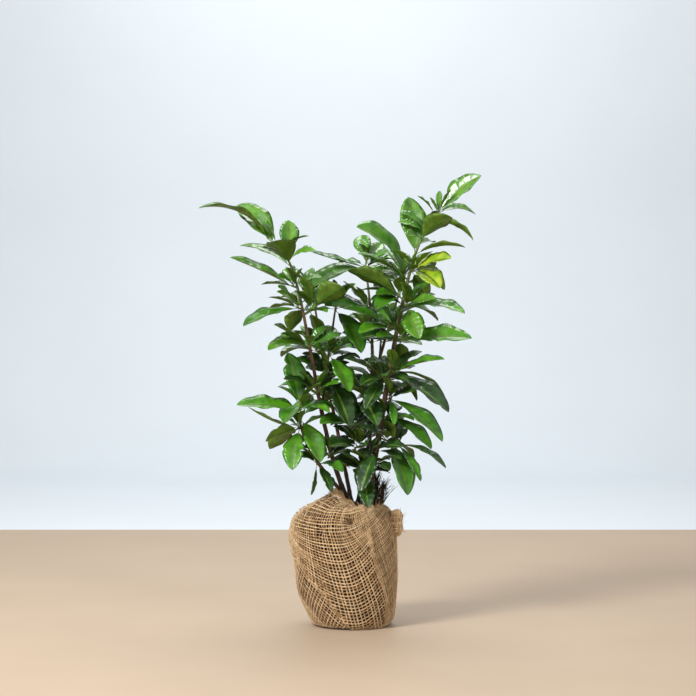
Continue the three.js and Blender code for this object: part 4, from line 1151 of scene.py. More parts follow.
# %% Green shoots and buds
SHOOT_STEPS = 12
SHOOT_SIDES = 8
BUD_LENGTH = 5.5
BUD_RADIUS = 1.5
BUD_SIDES = 6
BUD_SHAPE = np.array([0.35, 0.95, 1.0, 0.7, 0.15])
TIP_BUD = 1.3
SIDE_BUD = 0.7
SIDE_BUD_OUT = 2.2
SIDE_BUD_UPTURN = 1.2
NODES = np.linspace(0.15, 0.95, 5)
NODE_WIDTH = 0.05
NODE_SWELL = 0.16

twigs, buds = Bundle(), Bundle()


def add_bud(start, direction, size):
    share = np.linspace(0, 1, len(BUD_SHAPE))[:, None]
    line = start + share * size * BUD_LENGTH * unit(direction)
    buds.add(*tube(line, BUD_SHAPE * BUD_RADIUS * size, BUD_SIDES))


for shoot in shoots:
    share = np.linspace(0, 1, SHOOT_STEPS)
    line = quadratic(shoot["curve"], share)
    swell = sum(bump_at(share - node, NODE_WIDTH) for node in NODES)
    radii = mix(*shoot["radii"], share) * (1 + NODE_SWELL * swell)
    twigs.add(*tube(line, radii, SHOOT_SIDES))
    add_bud(line[-1], line[-1] - line[-2], TIP_BUD)
    for leaf in shoot["kept"][::2]:
        outward = unit(leaf["chord"])
        upturned = unit(outward + SIDE_BUD_UPTURN * UP)
        add_bud(leaf["base"] + SIDE_BUD_OUT * outward, upturned, SIDE_BUD)
finish_piece(twigs.piece("green_shoots", [shoot_look]))
finish_piece(buds.piece("buds", [bud_look]))

# %% [markdown]
# ## Stems with bark
# Each stem is drawn as by hand: one Bezier curve with a round bevel and a radius at each
# end, turned into a mesh. Its skin then gets what a real one has: a slight swelling with a
# scar at each old leaf, fine ridges along it, and a flare where it leaves the collar.

# %% Stems with bark
STEM_STEPS = 64
STEM_BEVEL = 3
STEM_MEASURES = 400
FIRST_SCAR = (14, 30)
SCAR_SHIFT = 5
SCAR_SPACING = 31
SCAR_SWELL = 0.13
SCAR_WIDTH = 2.2
FOOT_FLARE = 0.5
FOOT_FLARE_LENGTH = 11
RIDGE_SHARE = 0.035


def stem_mesh(name, limb):
    deselect_all()
    bpy.ops.curve.primitive_bezier_curve_add(location=(0, 0, 0))
    stem = bpy.context.active_object
    stem.name = name
    line = stem.data
    line.dimensions = "3D"
    line.resolution_u = STEM_STEPS
    line.bevel_depth = MM
    line.bevel_resolution = STEM_BEVEL
    line.use_fill_caps = True
    foot, low_handle, high_handle, tip = (p * MM for p in limb["curve"])
    start, end = line.splines[0].bezier_points
    for point in (start, end):
        point.handle_left_type = point.handle_right_type = "FREE"
    start.co, end.co = foot, tip
    start.handle_left, start.handle_right = 2 * foot - low_handle, low_handle
    end.handle_left, end.handle_right = high_handle, 2 * tip - high_handle
    start.radius, end.radius = limb["radii"]
    line.splines[0].radius_interpolation = "LINEAR"
    only(stem)
    bpy.ops.object.convert(target="MESH")
    return bpy.context.active_object


def roughen_stem(stem, limb, chance):
    """Swells the skin at each leaf scar and at the foot, and raises fine ridges."""
    count = len(stem.data.vertices)
    points = np.empty(count * 3, np.float32)
    stem.data.vertices.foreach_get("co", points)
    points = points.reshape(-1, 3) / MM
    dense = cubic(limb["curve"], np.linspace(0, 1, STEM_MEASURES))
    lengths = np.concatenate([[0], np.cumsum(np.linalg.norm(np.diff(dense, axis=0), axis=1))])
    nearest = np.array([np.argmin(((dense - p) ** 2).sum(1)) for p in points])
    centre, along = dense[nearest], lengths[nearest]
    outward = points - centre
    angle = np.arctan2(outward[:, 1], outward[:, 0])
    swell = np.zeros(count)
    for scar in np.arange(chance.uniform(*FIRST_SCAR), lengths[-1], SCAR_SPACING):
        shift = chance.uniform(-SCAR_SHIFT, SCAR_SHIFT)
        swell += SCAR_SWELL * bump_at(along - scar - shift, SCAR_WIDTH)
    swell += FOOT_FLARE * bump_at(along, FOOT_FLARE_LENGTH) * (not limb["forks"])
    swell += RIDGE_SHARE * (np.sin(5 * angle + along * 0.05) + np.sin(along * 0.21 + angle))
    points = centre + outward * (1 + swell)[:, None]
    stem.data.vertices.foreach_set("co", (points * MM).astype(np.float32).ravel())
    stem.data.update()


# %% [markdown]
# ## Bark
# Low on the plant the bark is thin, brown and smooth with pale pores, and at the foot,
# under the crown, it is painted nearly black as painted shade. Higher up it is this year's
# wood, still green. The material reads height from Object coordinates and passes from one
# to the next.

# %% Bark
OLD_WOOD_UP_TO = 0.50
GREEN_WOOD_FROM = 0.72
PORE_SCALE = 260
PORE_EDGES = (0.16, 0.08)
BARK_GRAIN = dict(patch=75, grain=420, relief=0.0006)
PAINTED_SHADE_UP_TO = 0.25
UNSHADED_FROM = 0.36
PAINTED_SHADE_BARK = (44, 32, 24)
PORE = (150, 132, 100)


def bark_look(name, old_tones, green_tones):
    look, shader = new_look(name, roughness=0.68)
    tree = look.node_tree
    old, green = (mottled(tree, *tones, **BARK_GRAIN) for tones in (old_tones, green_tones))
    place = tree.nodes.new("ShaderNodeTexCoord").outputs["Object"]
    height = add_node(tree, "ShaderNodeSeparateXYZ", {"Vector": place}).outputs["Z"]
    greening = map_range(tree, height, OLD_WOOD_UP_TO, GREEN_WOOD_FROM)
    wood = blend(tree, greening, old["Color"], green["Color"])
    pores = add_node(tree, "ShaderNodeTexVoronoi", {"Vector": place, "Scale": PORE_SCALE})
    at_pore = map_range(tree, pores.outputs["Distance"], *PORE_EDGES)
    wood = blend(tree, at_pore, wood, srgb(*PORE))
    # Low on the stems the bark fades to near-black: painted shade under the crown.
    out_of_shade = map_range(tree, height, PAINTED_SHADE_UP_TO, UNSHADED_FROM)
    wood = blend(tree, out_of_shade, srgb(*PAINTED_SHADE_BARK), wood)
    tree.links.new(wood, shader.inputs["Base Color"])
    tree.links.new(old["Normal"], shader.inputs["Normal"])
    return look


bark = bark_look("bark", ((112, 86, 60), (58, 42, 30)), ((118, 128, 72), (84, 92, 50)))
red_bark = bark_look("reddish bark", ((124, 84, 62), (66, 40, 32)), ((112, 112, 68), (84, 78, 46)))
RED_STEMS = ("stem_left", "branch_low_left", "stem_left_inner", "stem_back_left")
for name, limb in limbs.items():
    stem = stem_mesh(f"{name}_bark", limb)
    roughen_stem(stem, limb, chance)
    stem.data.materials.append(red_bark if name in RED_STEMS else bark)
    only(stem)
    bpy.ops.object.shade_smooth()
    finish_piece(stem, [name])

# %% [markdown]
# ## Root collar
# All the stems leave one swollen collar. It starts as a cylinder on the soil, its top is
# inset and lowered between the stems, its edges are rounded, and a cloud displacement
# breaks up the outline as old bark does.

# %% Root collar
COLLAR_FLARE = 31
COLLAR_TOP_RADIUS = 23
COLLAR_SIDES = 20
COLLAR_INSET = 7
COLLAR_DIP = 2
COLLAR_SMOOTHING = 3
COLLAR_ROUGHNESS = 2.2
CLOUD_SIZE = 14


def apply_modifier(piece, kind, **settings):
    """Adds a modifier with its settings, and applies it."""
    only(piece)
    step = piece.modifiers.new(kind.lower(), kind)
    for setting, value in settings.items():
        setattr(step, setting, value)
    bpy.ops.object.modifier_apply(modifier=step.name)


def settle(piece):
    """The place goes into the mesh, and the object sits at the origin."""
    only(piece)
    bpy.ops.object.transform_apply(location=True, rotation=True, scale=True)


deselect_all()
base = SOIL_TOP + GAP
bpy.ops.mesh.primitive_cylinder_add(
    vertices=COLLAR_SIDES, radius=COLLAR_FLARE * MM, depth=COLLAR_HEIGHT * MM,
    location=(COLLAR_CENTRE[0] * MM, COLLAR_CENTRE[1] * MM, (base + COLLAR_HEIGHT / 2) * MM),
)
collar = bpy.context.active_object
collar.name = "root_collar_bark"
bpy.ops.object.mode_set(mode="EDIT")
bpy.ops.mesh.select_mode(type="FACE")
bpy.ops.mesh.select_all(action="DESELECT")
bpy.ops.object.mode_set(mode="OBJECT")
for face in collar.data.polygons:
    face.select = face.normal.z > 0.9
bpy.ops.object.mode_set(mode="EDIT")
narrow = COLLAR_TOP_RADIUS / COLLAR_FLARE
bpy.ops.transform.resize(value=(narrow, narrow, 1))
bpy.ops.mesh.inset(thickness=COLLAR_INSET * MM, depth=0)
bpy.ops.transform.translate(value=(0, 0, -COLLAR_DIP * MM))
bpy.ops.object.mode_set(mode="OBJECT")
apply_modifier(collar, "SUBSURF", levels=COLLAR_SMOOTHING, render_levels=COLLAR_SMOOTHING)
settle(collar)
clouds = bpy.data.textures.new("collar clouds", "CLOUDS")
clouds.noise_scale = CLOUD_SIZE * MM
rough = COLLAR_ROUGHNESS * MM
apply_modifier(collar, "DISPLACE", texture=clouds, texture_coords="LOCAL", strength=rough)
collar.data.materials.append(red_bark)
bpy.ops.object.shade_smooth()
finish_piece(collar, ["root_collar"])

# %% [markdown]
# ## The skin of the root ball
# The ball is a stack of rings: height, radius and sideways shift, as in the solids. Its
# burlap follows that skin, with the peak of cloth at the left of the rim, the shallow
# valley at the front, pleats at the gathered neck, and the hollows and soft folds that the
# photo shows. A point of the skin is asked for by its turn round from the front, in
# degrees, and by how far up the cloth it lies, measured along the surface from the floor.

# %% The skin of the root ball
PEAK_HEADING = 215
PEAK_RISE = 34
PEAK_WIDTH = 38
VALLEY_HEADING = 285
VALLEY_DEPTH = 7
VALLEY_WIDTH = 26
SHOULDER_ROW = 6
SHOULDER_SOFT = 1.5
LUMP = 1.6
LUMPS_FROM = 10
FRONT = 270
PLEATS = 17
PLEAT_DEPTH = 3.0
PLEATS_FROM = 238
SOFTEN = 9.0
SLOPE_STEP = 6
NORMAL_TURN_STEP = 1.5
NORMAL_RUN_STEP = 4
BALL_COLUMNS = np.array(BALL_ROWS, float).T
ROW_RUN = np.concatenate([[0], np.cumsum(np.hypot(*np.diff(BALL_COLUMNS[:2])))])
ROW_NUMBERS = np.arange(len(BALL_ROWS))
SKIN_LENGTH = ROW_RUN[-1]
# Soft hollows and folds: turn from the front, run, half-sizes of both, and how far the
# skin moves out.
CLOTH_FOLDS = [
    (-28, 203, 5, 8, -12.0),
    (-78, 74, 17, 34, 7.0),
    (-15, 222, 6, 26, 3.5),
    (-40, 215, 10, 20, 2.0),
    (8, 225, 7, 10, -24.0),
    (20, 212, 6, 14, 4.0),
    (9, 250, 12, 7, 4.0),
    (24, 225, 7, 24, 3.0),
    (38, 150, 5, 75, -2.5),
    (31, 190, 6, 40, 2.0),
    (-8, 178, 22, 14, -1.8),
    (52, 60, 5, 40, 2.2),
    (120, 150, 10, 60, 3.0),
    (-120, 130, 8, 60, 3.0),
    (180, 200, 18, 18, -5.0),
    (150, 220, 7, 30, 3.0),
    (-155, 215, 7, 30, 3.0),
]


def turn_apart(heading, to):
    return np.abs((heading - to + 540) % 360 - 180)


def ball_skin(turn, run, out=0.0):
    """Points on the cloth, in millimetres, from turns in degrees and runs in millimetres."""
    turn, run = np.broadcast_arrays(np.asarray(turn, float), np.asarray(run, float))
    heading = FRONT + turn
    soft = np.clip(run[..., None] + [-SOFTEN, 0.0, SOFTEN], 0, SKIN_LENGTH)
    height, radius, shift = (np.interp(soft, ROW_RUN, c).mean(-1) for c in BALL_COLUMNS)
    ends = np.clip(run[..., None] + [-SLOPE_STEP, SLOPE_STEP], 0, SKIN_LENGTH)
    climb, widening = (np.diff(np.interp(ends, ROW_RUN, c))[..., 0] for c in BALL_COLUMNS[:2])
    scale = np.hypot(widening, climb) + 1e-6
    outward, upward = climb / scale, -widening / scale
    row = np.interp(run, ROW_RUN, ROW_NUMBERS)
    rim = np.clip((row - SHOULDER_ROW) / (ROW_NUMBERS[-1] - SHOULDER_ROW), 0, 1)
    peak = PEAK_RISE * rim * bump_at(turn_apart(heading, PEAK_HEADING), PEAK_WIDTH)
    on_shoulder = np.clip(SHOULDER_SOFT - np.abs(row - SHOULDER_ROW) / SHOULDER_SOFT, 0, 1)
    valley = VALLEY_DEPTH * bump_at(turn_apart(heading, VALLEY_HEADING), VALLEY_WIDTH) * on_shoulder
    lumps = LUMP * np.sin(3 * heading * DEGREE + row) * (1 - rim) * (height > LUMPS_FROM)
    gather = np.clip((run - PLEATS_FROM) / (SKIN_LENGTH - PLEATS_FROM), 0, 1)
    angle = heading * DEGREE
    pleats = PLEAT_DEPTH * gather * np.sin(PLEATS * angle + 2 * np.sin(2 * angle))
    folds = sum(
        depth * bump_at(turn_apart(turn, where), half_turn) * bump_at(run - place, half_run)
        for where, place, half_turn, half_run, depth in CLOTH_FOLDS
    )
    move = out + pleats + folds
    r = radius + lumps - valley + outward * move
    return np.stack([
        shift + r * np.cos(angle),
        r * np.sin(angle) * BALL_DEPTH_SHARE,
        height + peak + upward * move,
    ], axis=-1)


def ball_normal(turn, run):
    """Which way the cloth faces."""
    around = ball_skin(turn + NORMAL_TURN_STEP, run) - ball_skin(turn - NORMAL_TURN_STEP, run)
    higher = np.clip(run + NORMAL_RUN_STEP, 0, SKIN_LENGTH)
    lower = np.clip(run - NORMAL_RUN_STEP, 0, SKIN_LENGTH)
    return unit(np.cross(around, ball_skin(turn, higher) - ball_skin(turn, lower)))


print("cloth from the floor to the rim:", round(float(SKIN_LENGTH)), "mm")

# %% [markdown]
# ## How burlap lies round a ball
# A square of burlap is laid under the ball and drawn up to the neck. On the front, the
# threads that ran across the square now hang as smiles, steeper on the right, where the
# cloth is pulled to the knot. The threads that cross them lean down to the right and fan
# out. The cloth that is too much goes into folds, one at each corner of the square, so
# there are four panels: the front and the back smile, and the sides slant. The front and
# the back lie over the sides, and their edges are rolled under.

# %% Two ways for threads to lie
COLUMN_FALL = ([-40, 150, 205, 300], [175, -15, -90, -105])
SMILE_FLATTENS = 100
LABEL_STEPS = 30


class SmilingWeave:
    """Rows hang as smiles, and columns fan out from above."""

    def __init__(self, row_step, column_step, left, right, centre, lean, fans):
        self.row_step, self.column_step, self.lean, self.fans = row_step, column_step, lean, fans
        self.left, self.right, self.centre = left, right, centre

    def rise(self, label, turn):
        apart = turn - np.interp(label, *self.centre)
        bend = np.where(apart < 0, np.interp(label, *self.left), np.interp(label, *self.right))
        return bend * apart**2 / (1 + (apart / SMILE_FLATTENS) ** 2)

    def row(self, label, turn):
        return label + self.rise(label, turn)

    def row_label(self, turn, run):
        """Which row passes a point, found in steps that go halfway each time."""
        label = run - 10.0
        for _ in range(LABEL_STEPS):
            label = 0.5 * label + 0.5 * (run - self.rise(label, turn))
        return label

    def fall(self, run):
        """How far a column has come down, which sets how far it has leaned."""
        return np.interp(run, *COLUMN_FALL)

    def column(self, label, run):
        fan = self.fans[1] if label > 0 else self.fans[0]
        return label + (self.lean + fan * label) * self.fall(run)

    def column_label(self, turn, run):
        fall = self.fall(run)
        from_middle = turn - self.lean * fall
        fan = np.where(from_middle > 0, self.fans[1], self.fans[0])
        return from_middle / (1 + fan * fall)


class SlantingWeave:
    """Rows and columns are straight and slant."""

    def __init__(self, row_step, column_step, row_slope, column_slope):
        self.row_step, self.column_step = row_step, column_step
        self.row_slope, self.column_slope = row_slope, column_slope

    def row(self, label, turn):
        return label + self.row_slope * turn

    def row_label(self, turn, run):
        return run - self.row_slope * turn

    def column(self, label, run):
        return label + self.column_slope * run

    def column_label(self, turn, run):
        return turn - self.column_slope * run


# %% [markdown]
# ## Four panels of cloth
# `middle` is the panel's own front, as a turn. `edges` gives, at some runs, how far the
# panel reaches to both sides of it. `out` is how far it lies outward, and `roll` how far
# its two edges stand up, or None for a panel that lies below. A thread is drawn as a line
# over its whole panel, and is thinner where the next one lies close: its half-width is a
# share of the way to it, with a least and a most.

# %% The four panels
front_weave = SmilingWeave(
    6.3, 3.8,
    left=([0, 120, 200], [0.018, 0.018, 0.002]),
    right=([0, 140, 235], [0.0215, 0.038, 0.010]),
    centre=([-60, 45, 110, 150, 260], [10, 4, -3.5, -8, -8]),
    lean=0.13, fans=(0.002, 0.0052),
)
back_weave = SmilingWeave(
    6.2, 3.8,
    left=([0, 140, 235], [0.022, 0.030, 0.006]),
    right=([0, 120, 220], [0.020, 0.026, 0.004]),
    centre=([-60, 260], [-4, 4]),
    lean=-0.05, fans=(0.003, 0.003),
)
PANELS = {
    "front": {
        "middle": 0, "weave": front_weave, "out": 1.4, "roll": (3.6, 0.3),
        "edges": ([8, 40, 75, 107, 136, 165, 200, 300], [-1, -17, -31, -45, -60, -80, -98, -98],
                  [56, 55, 50, 42, 36, 32, 29, 24]),
    },
    "left": {
        "middle": -75, "weave": SlantingWeave(8.2, 5.6, -1.5, 0.42), "out": -1.2, "roll": None,
        "edges": ([0, 300], [-72, -72], [72, 60]),
    },
    "back": {
        "middle": 180, "weave": back_weave, "out": 1.4, "roll": (2.6, 2.6),
        "edges": ([0, 100, 200, 300], [-34, -52, -58, -62], [40, 50, 62, 62]),
    },
    "right": {
        "middle": 85, "weave": SlantingWeave(5.0, 3.1, 1.1, -0.22), "out": -0.2, "roll": None,
        "edges": ([0, 300], [-66, -66], [66, 66]),
    },
}
LINE_STEP_TURN = 1.4
LINE_STEP_RUN = 2.4
DEGREES_A_MM = 0.573
REACH_TURN = 130
LABELS_FROM, LABELS_TO = -150, 430
EDGE_SOFT = 5.0
ROW_JITTER = 0.35
COLUMN_JITTER = 0.22
ROW_WIDTHS = (0.19, 0.95, 1.3)
COLUMN_WIDTHS = (0.165, 0.68, 1.1)


def panel_insets(panel, turn, run):
    """How far inside the panel's two side edges a point lies, in degrees."""
    places, low, high = panel["edges"]
    return turn - np.interp(run, places, low), np.interp(run, places, high) - turn


def panel_inset(panel, turn, run):
    return np.minimum(*panel_insets(panel, turn, run))


def edge_rise(panel, turn, run):
    """How far the rolled edges stand up at a point."""
    if not panel["roll"]:
        return 0
    insets = panel_insets(panel, turn, run)
    return sum(rise * bump_at(inset, EDGE_SOFT) for rise, inset in zip(panel["roll"], insets))


def cover_over(turn, run):
    """How far under the front or the back panel a point of the ball lies, in degrees."""
    depths = []
    for outer in (PANELS["front"], PANELS["back"]):
        from_middle = (turn - outer["middle"] + 180) % 360 - 180
        depths.append(panel_inset(outer, from_middle, run))
    return np.maximum(*depths)


def thread_half(pitch, share, least, most):
    """A thread's half-width, from how close the next one lies."""
    return np.clip(share * pitch, least, most)


def thread_lines(panel, chance):
    """Each thread of a panel: turns and runs along it, and how far it is over or under."""
    weave = panel["weave"]
    turns = np.arange(-REACH_TURN, REACH_TURN, LINE_STEP_TURN)
    for j in range(int(LABELS_FROM / weave.row_step), int(LABELS_TO / weave.row_step)):
        label = j * weave.row_step + chance.normal(0, ROW_JITTER)
        run = weave.row(label, turns) + 0.5 * np.sin(0.11 * turns + j)
        over = np.cos(np.pi * (weave.column_label(turns, run) / weave.column_step + j))
        slope = np.gradient(run, turns) * DEGREES_A_MM
        pitch = weave.row(label + weave.row_step, turns) - weave.row(label, turns)
        yield turns, run, over, thread_half(pitch / np.hypot(1, slope), *ROW_WIDTHS)
    runs = np.arange(0, SKIN_LENGTH, LINE_STEP_RUN)
    for i in range(-int(REACH_TURN / weave.column_step), int(REACH_TURN / weave.column_step)):
        label = i * weave.column_step + chance.normal(0, COLUMN_JITTER)
        turn = weave.column(label, runs) + 0.3 * np.sin(0.06 * runs + 2 * i)
        over = -np.cos(np.pi * (weave.row_label(turn, runs) / weave.row_step + i))
        slope = np.gradient(turn, runs) / DEGREES_A_MM
        pitch = weave.column(label + weave.column_step, runs) - weave.column(label, runs)
        pitch = pitch / DEGREES_A_MM / np.hypot(1, slope)
        yield turn, runs, over, thread_half(pitch, *COLUMN_WIDTHS)


# %% [markdown]
# ## Weaving the panels
# Every thread is a flattened tube that passes over one crossing and under the next. Where
# it meets a panel's side edge it rolls under, as folded cloth does. Where the weave is
# drawn together its threads are thinner, so that the cloth stays open.

# %% Weaving the panels
OVERLAP = 5
THREAD_FLAT = 0.45
THREAD_LIFT = 0.6
THREAD_SIDES = 6
THREAD_SWELL = 0.14
THREAD_RANGE = (0.86, 1.12)
BROWN_SHARE = 0.35
LEAST_HEIGHT = 0.1
RIM_FRAY = 8
FRAY_CUT = 3
ROLL_RADIUS = 2.4
ROLL_ANGLES = np.array([60, 120, 180]) * DEGREE


def stretches_of(inside):
    """The runs of true values, as pairs of start and end."""
    edges = np.flatnonzero(np.diff(np.concatenate([[0], inside.astype(int), [0]])))
    return zip(edges[::2], edges[1::2])


def roll_under(turn, run, out):
    """Adds points to the end of a line that roll it under the edge."""
    ahead = np.array([turn[-1] - turn[-2], run[-1] - run[-2]])
    ahead = ahead / (np.hypot(ahead[0] / DEGREES_A_MM, ahead[1]) + 1e-6)
    past = ROLL_RADIUS * np.sin(ROLL_ANGLES)
    return (
        np.concatenate([turn, turn[-1] + past * ahead[0]]),
        np.concatenate([run, run[-1] + past * ahead[1]]),
        np.concatenate([out, out[-1] - ROLL_RADIUS * (1 - np.cos(ROLL_ANGLES))]),
    )


def add_thread(threads, panel, turn, run, over, half, chance):
    """One tube on the skin, over and under the threads it crosses, rolled in at an edge."""
    inset = panel_inset(panel, turn, run)
    out = panel["out"] + edge_rise(panel, turn, run) + THREAD_LIFT * over
    at_edge = (run > 3) & (run < SKIN_LENGTH - RIM_FRAY) & (inset < 2 * LINE_STEP_TURN)
    if panel["roll"] and at_edge[-1]:
        turn, run, out = roll_under(turn, run, out)
    if panel["roll"] and at_edge[0]:
        turn, run, out = (v[::-1] for v in roll_under(turn[::-1], run[::-1], out[::-1]))
    run = np.clip(run, 0.5, SKIN_LENGTH)
    line = ball_skin(panel["middle"] + turn, run, out)
    face = ball_normal(panel["middle"] + turn, run)
    swell = 1 + THREAD_SWELL * np.sin(0.5 * np.arange(len(run)) + chance.uniform(0, 6))
    half = np.interp(np.linspace(0, 1, len(run)), np.linspace(0, 1, len(half)), half)
    half = half * chance.uniform(*THREAD_RANGE) * swell
    points, faces = tube(line, half, THREAD_SIDES, face, THREAD_FLAT)
    points[:, 2] = np.maximum(points[:, 2], LEAST_HEIGHT)
    threads.add(points, faces, int(chance.random() < BROWN_SHARE))


def weave_panel(panel, chance):
    threads = Bundle()
    for turn, run, over, half in thread_lines(panel, chance):
        rim = SKIN_LENGTH - chance.uniform(0, RIM_FRAY)
        inside = (run > 1) & (run < rim) & (panel_inset(panel, turn, run) > 0)
        if not panel["roll"]:
            inside &= cover_over(panel["middle"] + turn, run) < OVERLAP
        for start, end in stretches_of(inside):
            if end - start > FRAY_CUT:
                cut = slice(start, end)
                add_thread(threads, panel, turn[cut], run[cut], over[cut], half[cut], chance)
    return threads


# %% [markdown]
# ## Burlap yarn
# Burlap is spun from jute: straw-coloured, matt and hairy, no two threads quite the same.
# Two tones are dealt out by thread, each mottled, with a fine relief of fibres.

# %% Burlap yarn
JUTE = dict(patch=130, grain=1600, relief=0.0006, roughness=0.95, sheen=0.15)
yarn_looks = [
    mottled_look("jute yarn", (230, 198, 152), (186, 152, 106), **JUTE),
    mottled_look("brown jute yarn", (200, 162, 116), (144, 110, 72), **JUTE),
]
for name, panel in PANELS.items():
    cloth = weave_panel(panel, chance).piece(f"burlap_{name}", yarn_looks)
    finish_piece(cloth, ["burlap_wrap"] if name == "front" else [])

# %% [markdown]
# ## The dark inside the weave
# Through the holes of the weave shows the root ball itself: dark, crumbly soil, painted
# near-black so that it also stands for the shade inside the holes. It could be a sphere
# pushed into shape, but then it would come through the cloth's hollows. So one closed skin,
# asked for from the same function as the cloth, lies just under the threads, and its top,
# where the cloth is open, is lumpy.

# %% The dark inside the weave
SOIL_UNDER = -4.2
SOIL_SIDES = 120
SOIL_RINGS = 40
SOIL_TOP_RUN = 276
SOIL_FLOOR = 1.5
SOIL_TOP_SHARES = (0.8, 0.55, 0.3)
SOIL_LUMP = 3
# Near-black tones: the soil's own dark brown, darkened further as painted shade inside the holes.
soil_and_shade_look = mottled_look("soil", (28, 18, 10), (10, 7, 4), 60, 420, 0.002, roughness=1.0)

around = np.linspace(-180, 180, SOIL_SIDES, endpoint=False)
rings = [ball_skin(around, run, SOIL_UNDER) for run in np.linspace(2, SOIL_TOP_RUN, SOIL_RINGS)]
rim_middle = rings[-1].mean(axis=0)
for share in SOIL_TOP_SHARES:
    ring = mix(rim_middle, rings[SOIL_RINGS - 1], share)
    ring[:, 2] = SOIL_TOP + SOIL_LUMP * chance.standard_normal(SOIL_SIDES) * share
    rings.append(ring)
foot, top = [[BALL_ROWS[0][2], 0, SOIL_FLOOR]], [[*rim_middle[:2], SOIL_TOP]]
points = np.concatenate([foot, *rings, top])
faces = []
last = 1 + (len(rings) - 1) * SOIL_SIDES
for a in range(1, last + SOIL_SIDES):
    b = a + 1 if a % SOIL_SIDES else a + 1 - SOIL_SIDES
    if a <= SOIL_SIDES:
        fan(faces, 0, b, a)
    if a < last:
        fan(faces, a, b, b + SOIL_SIDES, a + SOIL_SIDES)
    else:
        fan(faces, a, b, len(points) - 1)
soil = mesh_piece("soil_in_wrap", points, faces, [soil_and_shade_look])
finish_piece(soil, ["soil_ball"])

# %% [markdown]
# ## The knot of gathered cloth
# At the right shoulder the spare cloth is drawn into a knot that stands out like an ear. It
# starts as a sphere, is drawn tall, pinched at its waist and pleated, painted near-black as
# the shade between the knot's threads, and then covered with the same yarn, each thread
# following a pleat.

# %% The knot of gathered cloth
KNOT_CENTRE = np.array([98.0, -30.0, 206.0])
KNOT_HALF = np.array([13.0, 16.0, 27.0])
KNOT_PLEATS = 7
KNOT_PLEAT_DEPTH = 0.13
KNOT_LUMP = 0.04
KNOT_CORE_IN = -5.0
KNOT_SEGMENTS = 54
KNOT_RINGS = 28
KNOT_ENDS = 70
KNOT_THREADS = 26
KNOT_THREAD_STEPS = 40
KNOT_THREAD_RADIUS = 0.8
KNOT_HOOPS = 12
KNOT_HOOP_STEPS = 90
KNOT_HOOP_RADIUS = 0.75
KNOT_BROWN_SHARE = 0.4


def knot_skin(angle, lift, out=0.0):
    """A point of the knot: an angle round it, a lift from -1 to 1, and a step outward."""
    girth = np.sqrt(np.clip(1 - lift**2, 0, 1)) * (1 - 0.18 * bump_at(lift - 0.1, 0.35))
    pleat = 1 + KNOT_PLEAT_DEPTH * np.sin(KNOT_PLEATS * angle + 2.2 * lift)
    lump = 1 - KNOT_LUMP * (1 + np.sin(3 * lift + 2 * angle + 1)) * np.sin(1.5 + 5 * lift)
    r = girth * pleat * lump
    return np.stack([
        KNOT_CENTRE[0] + (KNOT_HALF[0] * r + out * girth) * np.cos(angle),
        KNOT_CENTRE[1] + (KNOT_HALF[1] * r + out * girth) * np.sin(angle),
        KNOT_CENTRE[2] + KNOT_HALF[2] * lift + 0 * angle,
    ], axis=-1)


deselect_all()
bpy.ops.mesh.primitive_uv_sphere_add(
    segments=KNOT_SEGMENTS, ring_count=KNOT_RINGS, radius=1, location=tuple(KNOT_CENTRE * MM)
)
knot = bpy.context.active_object
knot.name = "burlap_knot_core"
bpy.ops.transform.resize(value=tuple((KNOT_HALF + KNOT_CORE_IN) * MM))
settle(knot)
for vertex in knot.data.vertices:
    place = (np.array(vertex.co) / MM - KNOT_CENTRE) / (KNOT_HALF + KNOT_CORE_IN)
    angle = math.atan2(place[1], place[0])
    vertex.co = knot_skin(angle, np.clip(place[2], -1, 1), KNOT_CORE_IN) * MM
# The core is painted with the soil's near-black: painted shade inside the knot.
knot.data.materials.append(soil_and_shade_look)
only(knot)
bpy.ops.object.shade_smooth()
finish_piece(knot, ["burlap_knot"])

knot_yarn = Bundle()


def add_yarn(line, radii, sides):
    points, faces = tube(line, radii, sides)
    knot_yarn.add(points, faces, int(chance.random() < KNOT_BROWN_SHARE))


lifts = np.linspace(-0.96, 0.96, KNOT_THREAD_STEPS)
for i in range(KNOT_THREADS):
    angle = 2 * np.pi * i / KNOT_THREADS + 0.35 * lifts
    over = np.cos(np.pi * (np.arange(KNOT_THREAD_STEPS) + i))
    add_yarn(knot_skin(angle, lifts, 0.3 + 0.5 * over), KNOT_THREAD_RADIUS, 5)
turn = np.linspace(0, 2 * np.pi, KNOT_HOOP_STEPS)
for lift in np.linspace(-0.9, 0.9, KNOT_HOOPS):
    line = knot_skin(turn, lift + 0.05 * np.sin(turn + 9 * lift), 0.4)
    add_yarn(line, KNOT_HOOP_RADIUS, 5)
for _ in range(KNOT_ENDS):
    angle, lift = chance.uniform(-2.6, 1.6), chance.uniform(-0.9, 0.95)
    start = knot_skin(angle, lift)
    direction = unit(start - KNOT_CENTRE) + 0.6 * UP + chance.normal(size=3) * 0.8
    share = np.linspace(0, 1, 5)[:, None]
    curl = chance.normal(size=3) * 2.5
    line = start + share * chance.uniform(3, 8) * unit(direction) + share**2 * curl
    add_yarn(line, np.linspace(0.6, 0.25, 5), 4)
finish_piece(knot_yarn.piece("burlap_knot_yarn", yarn_looks))

# %% [markdown]
# ## Loose fibres, straw and rootlets
# Cut burlap frays: fine hairs stand off the weave, longer ends off the rim, and a few
# loose strands run round it. Round the collar lie bits of straw, and two tufts of thin
# dead roots stand up. Hair particles could make them, but they have no mesh to export, so
# all are thin bent tubes of three to five sides.

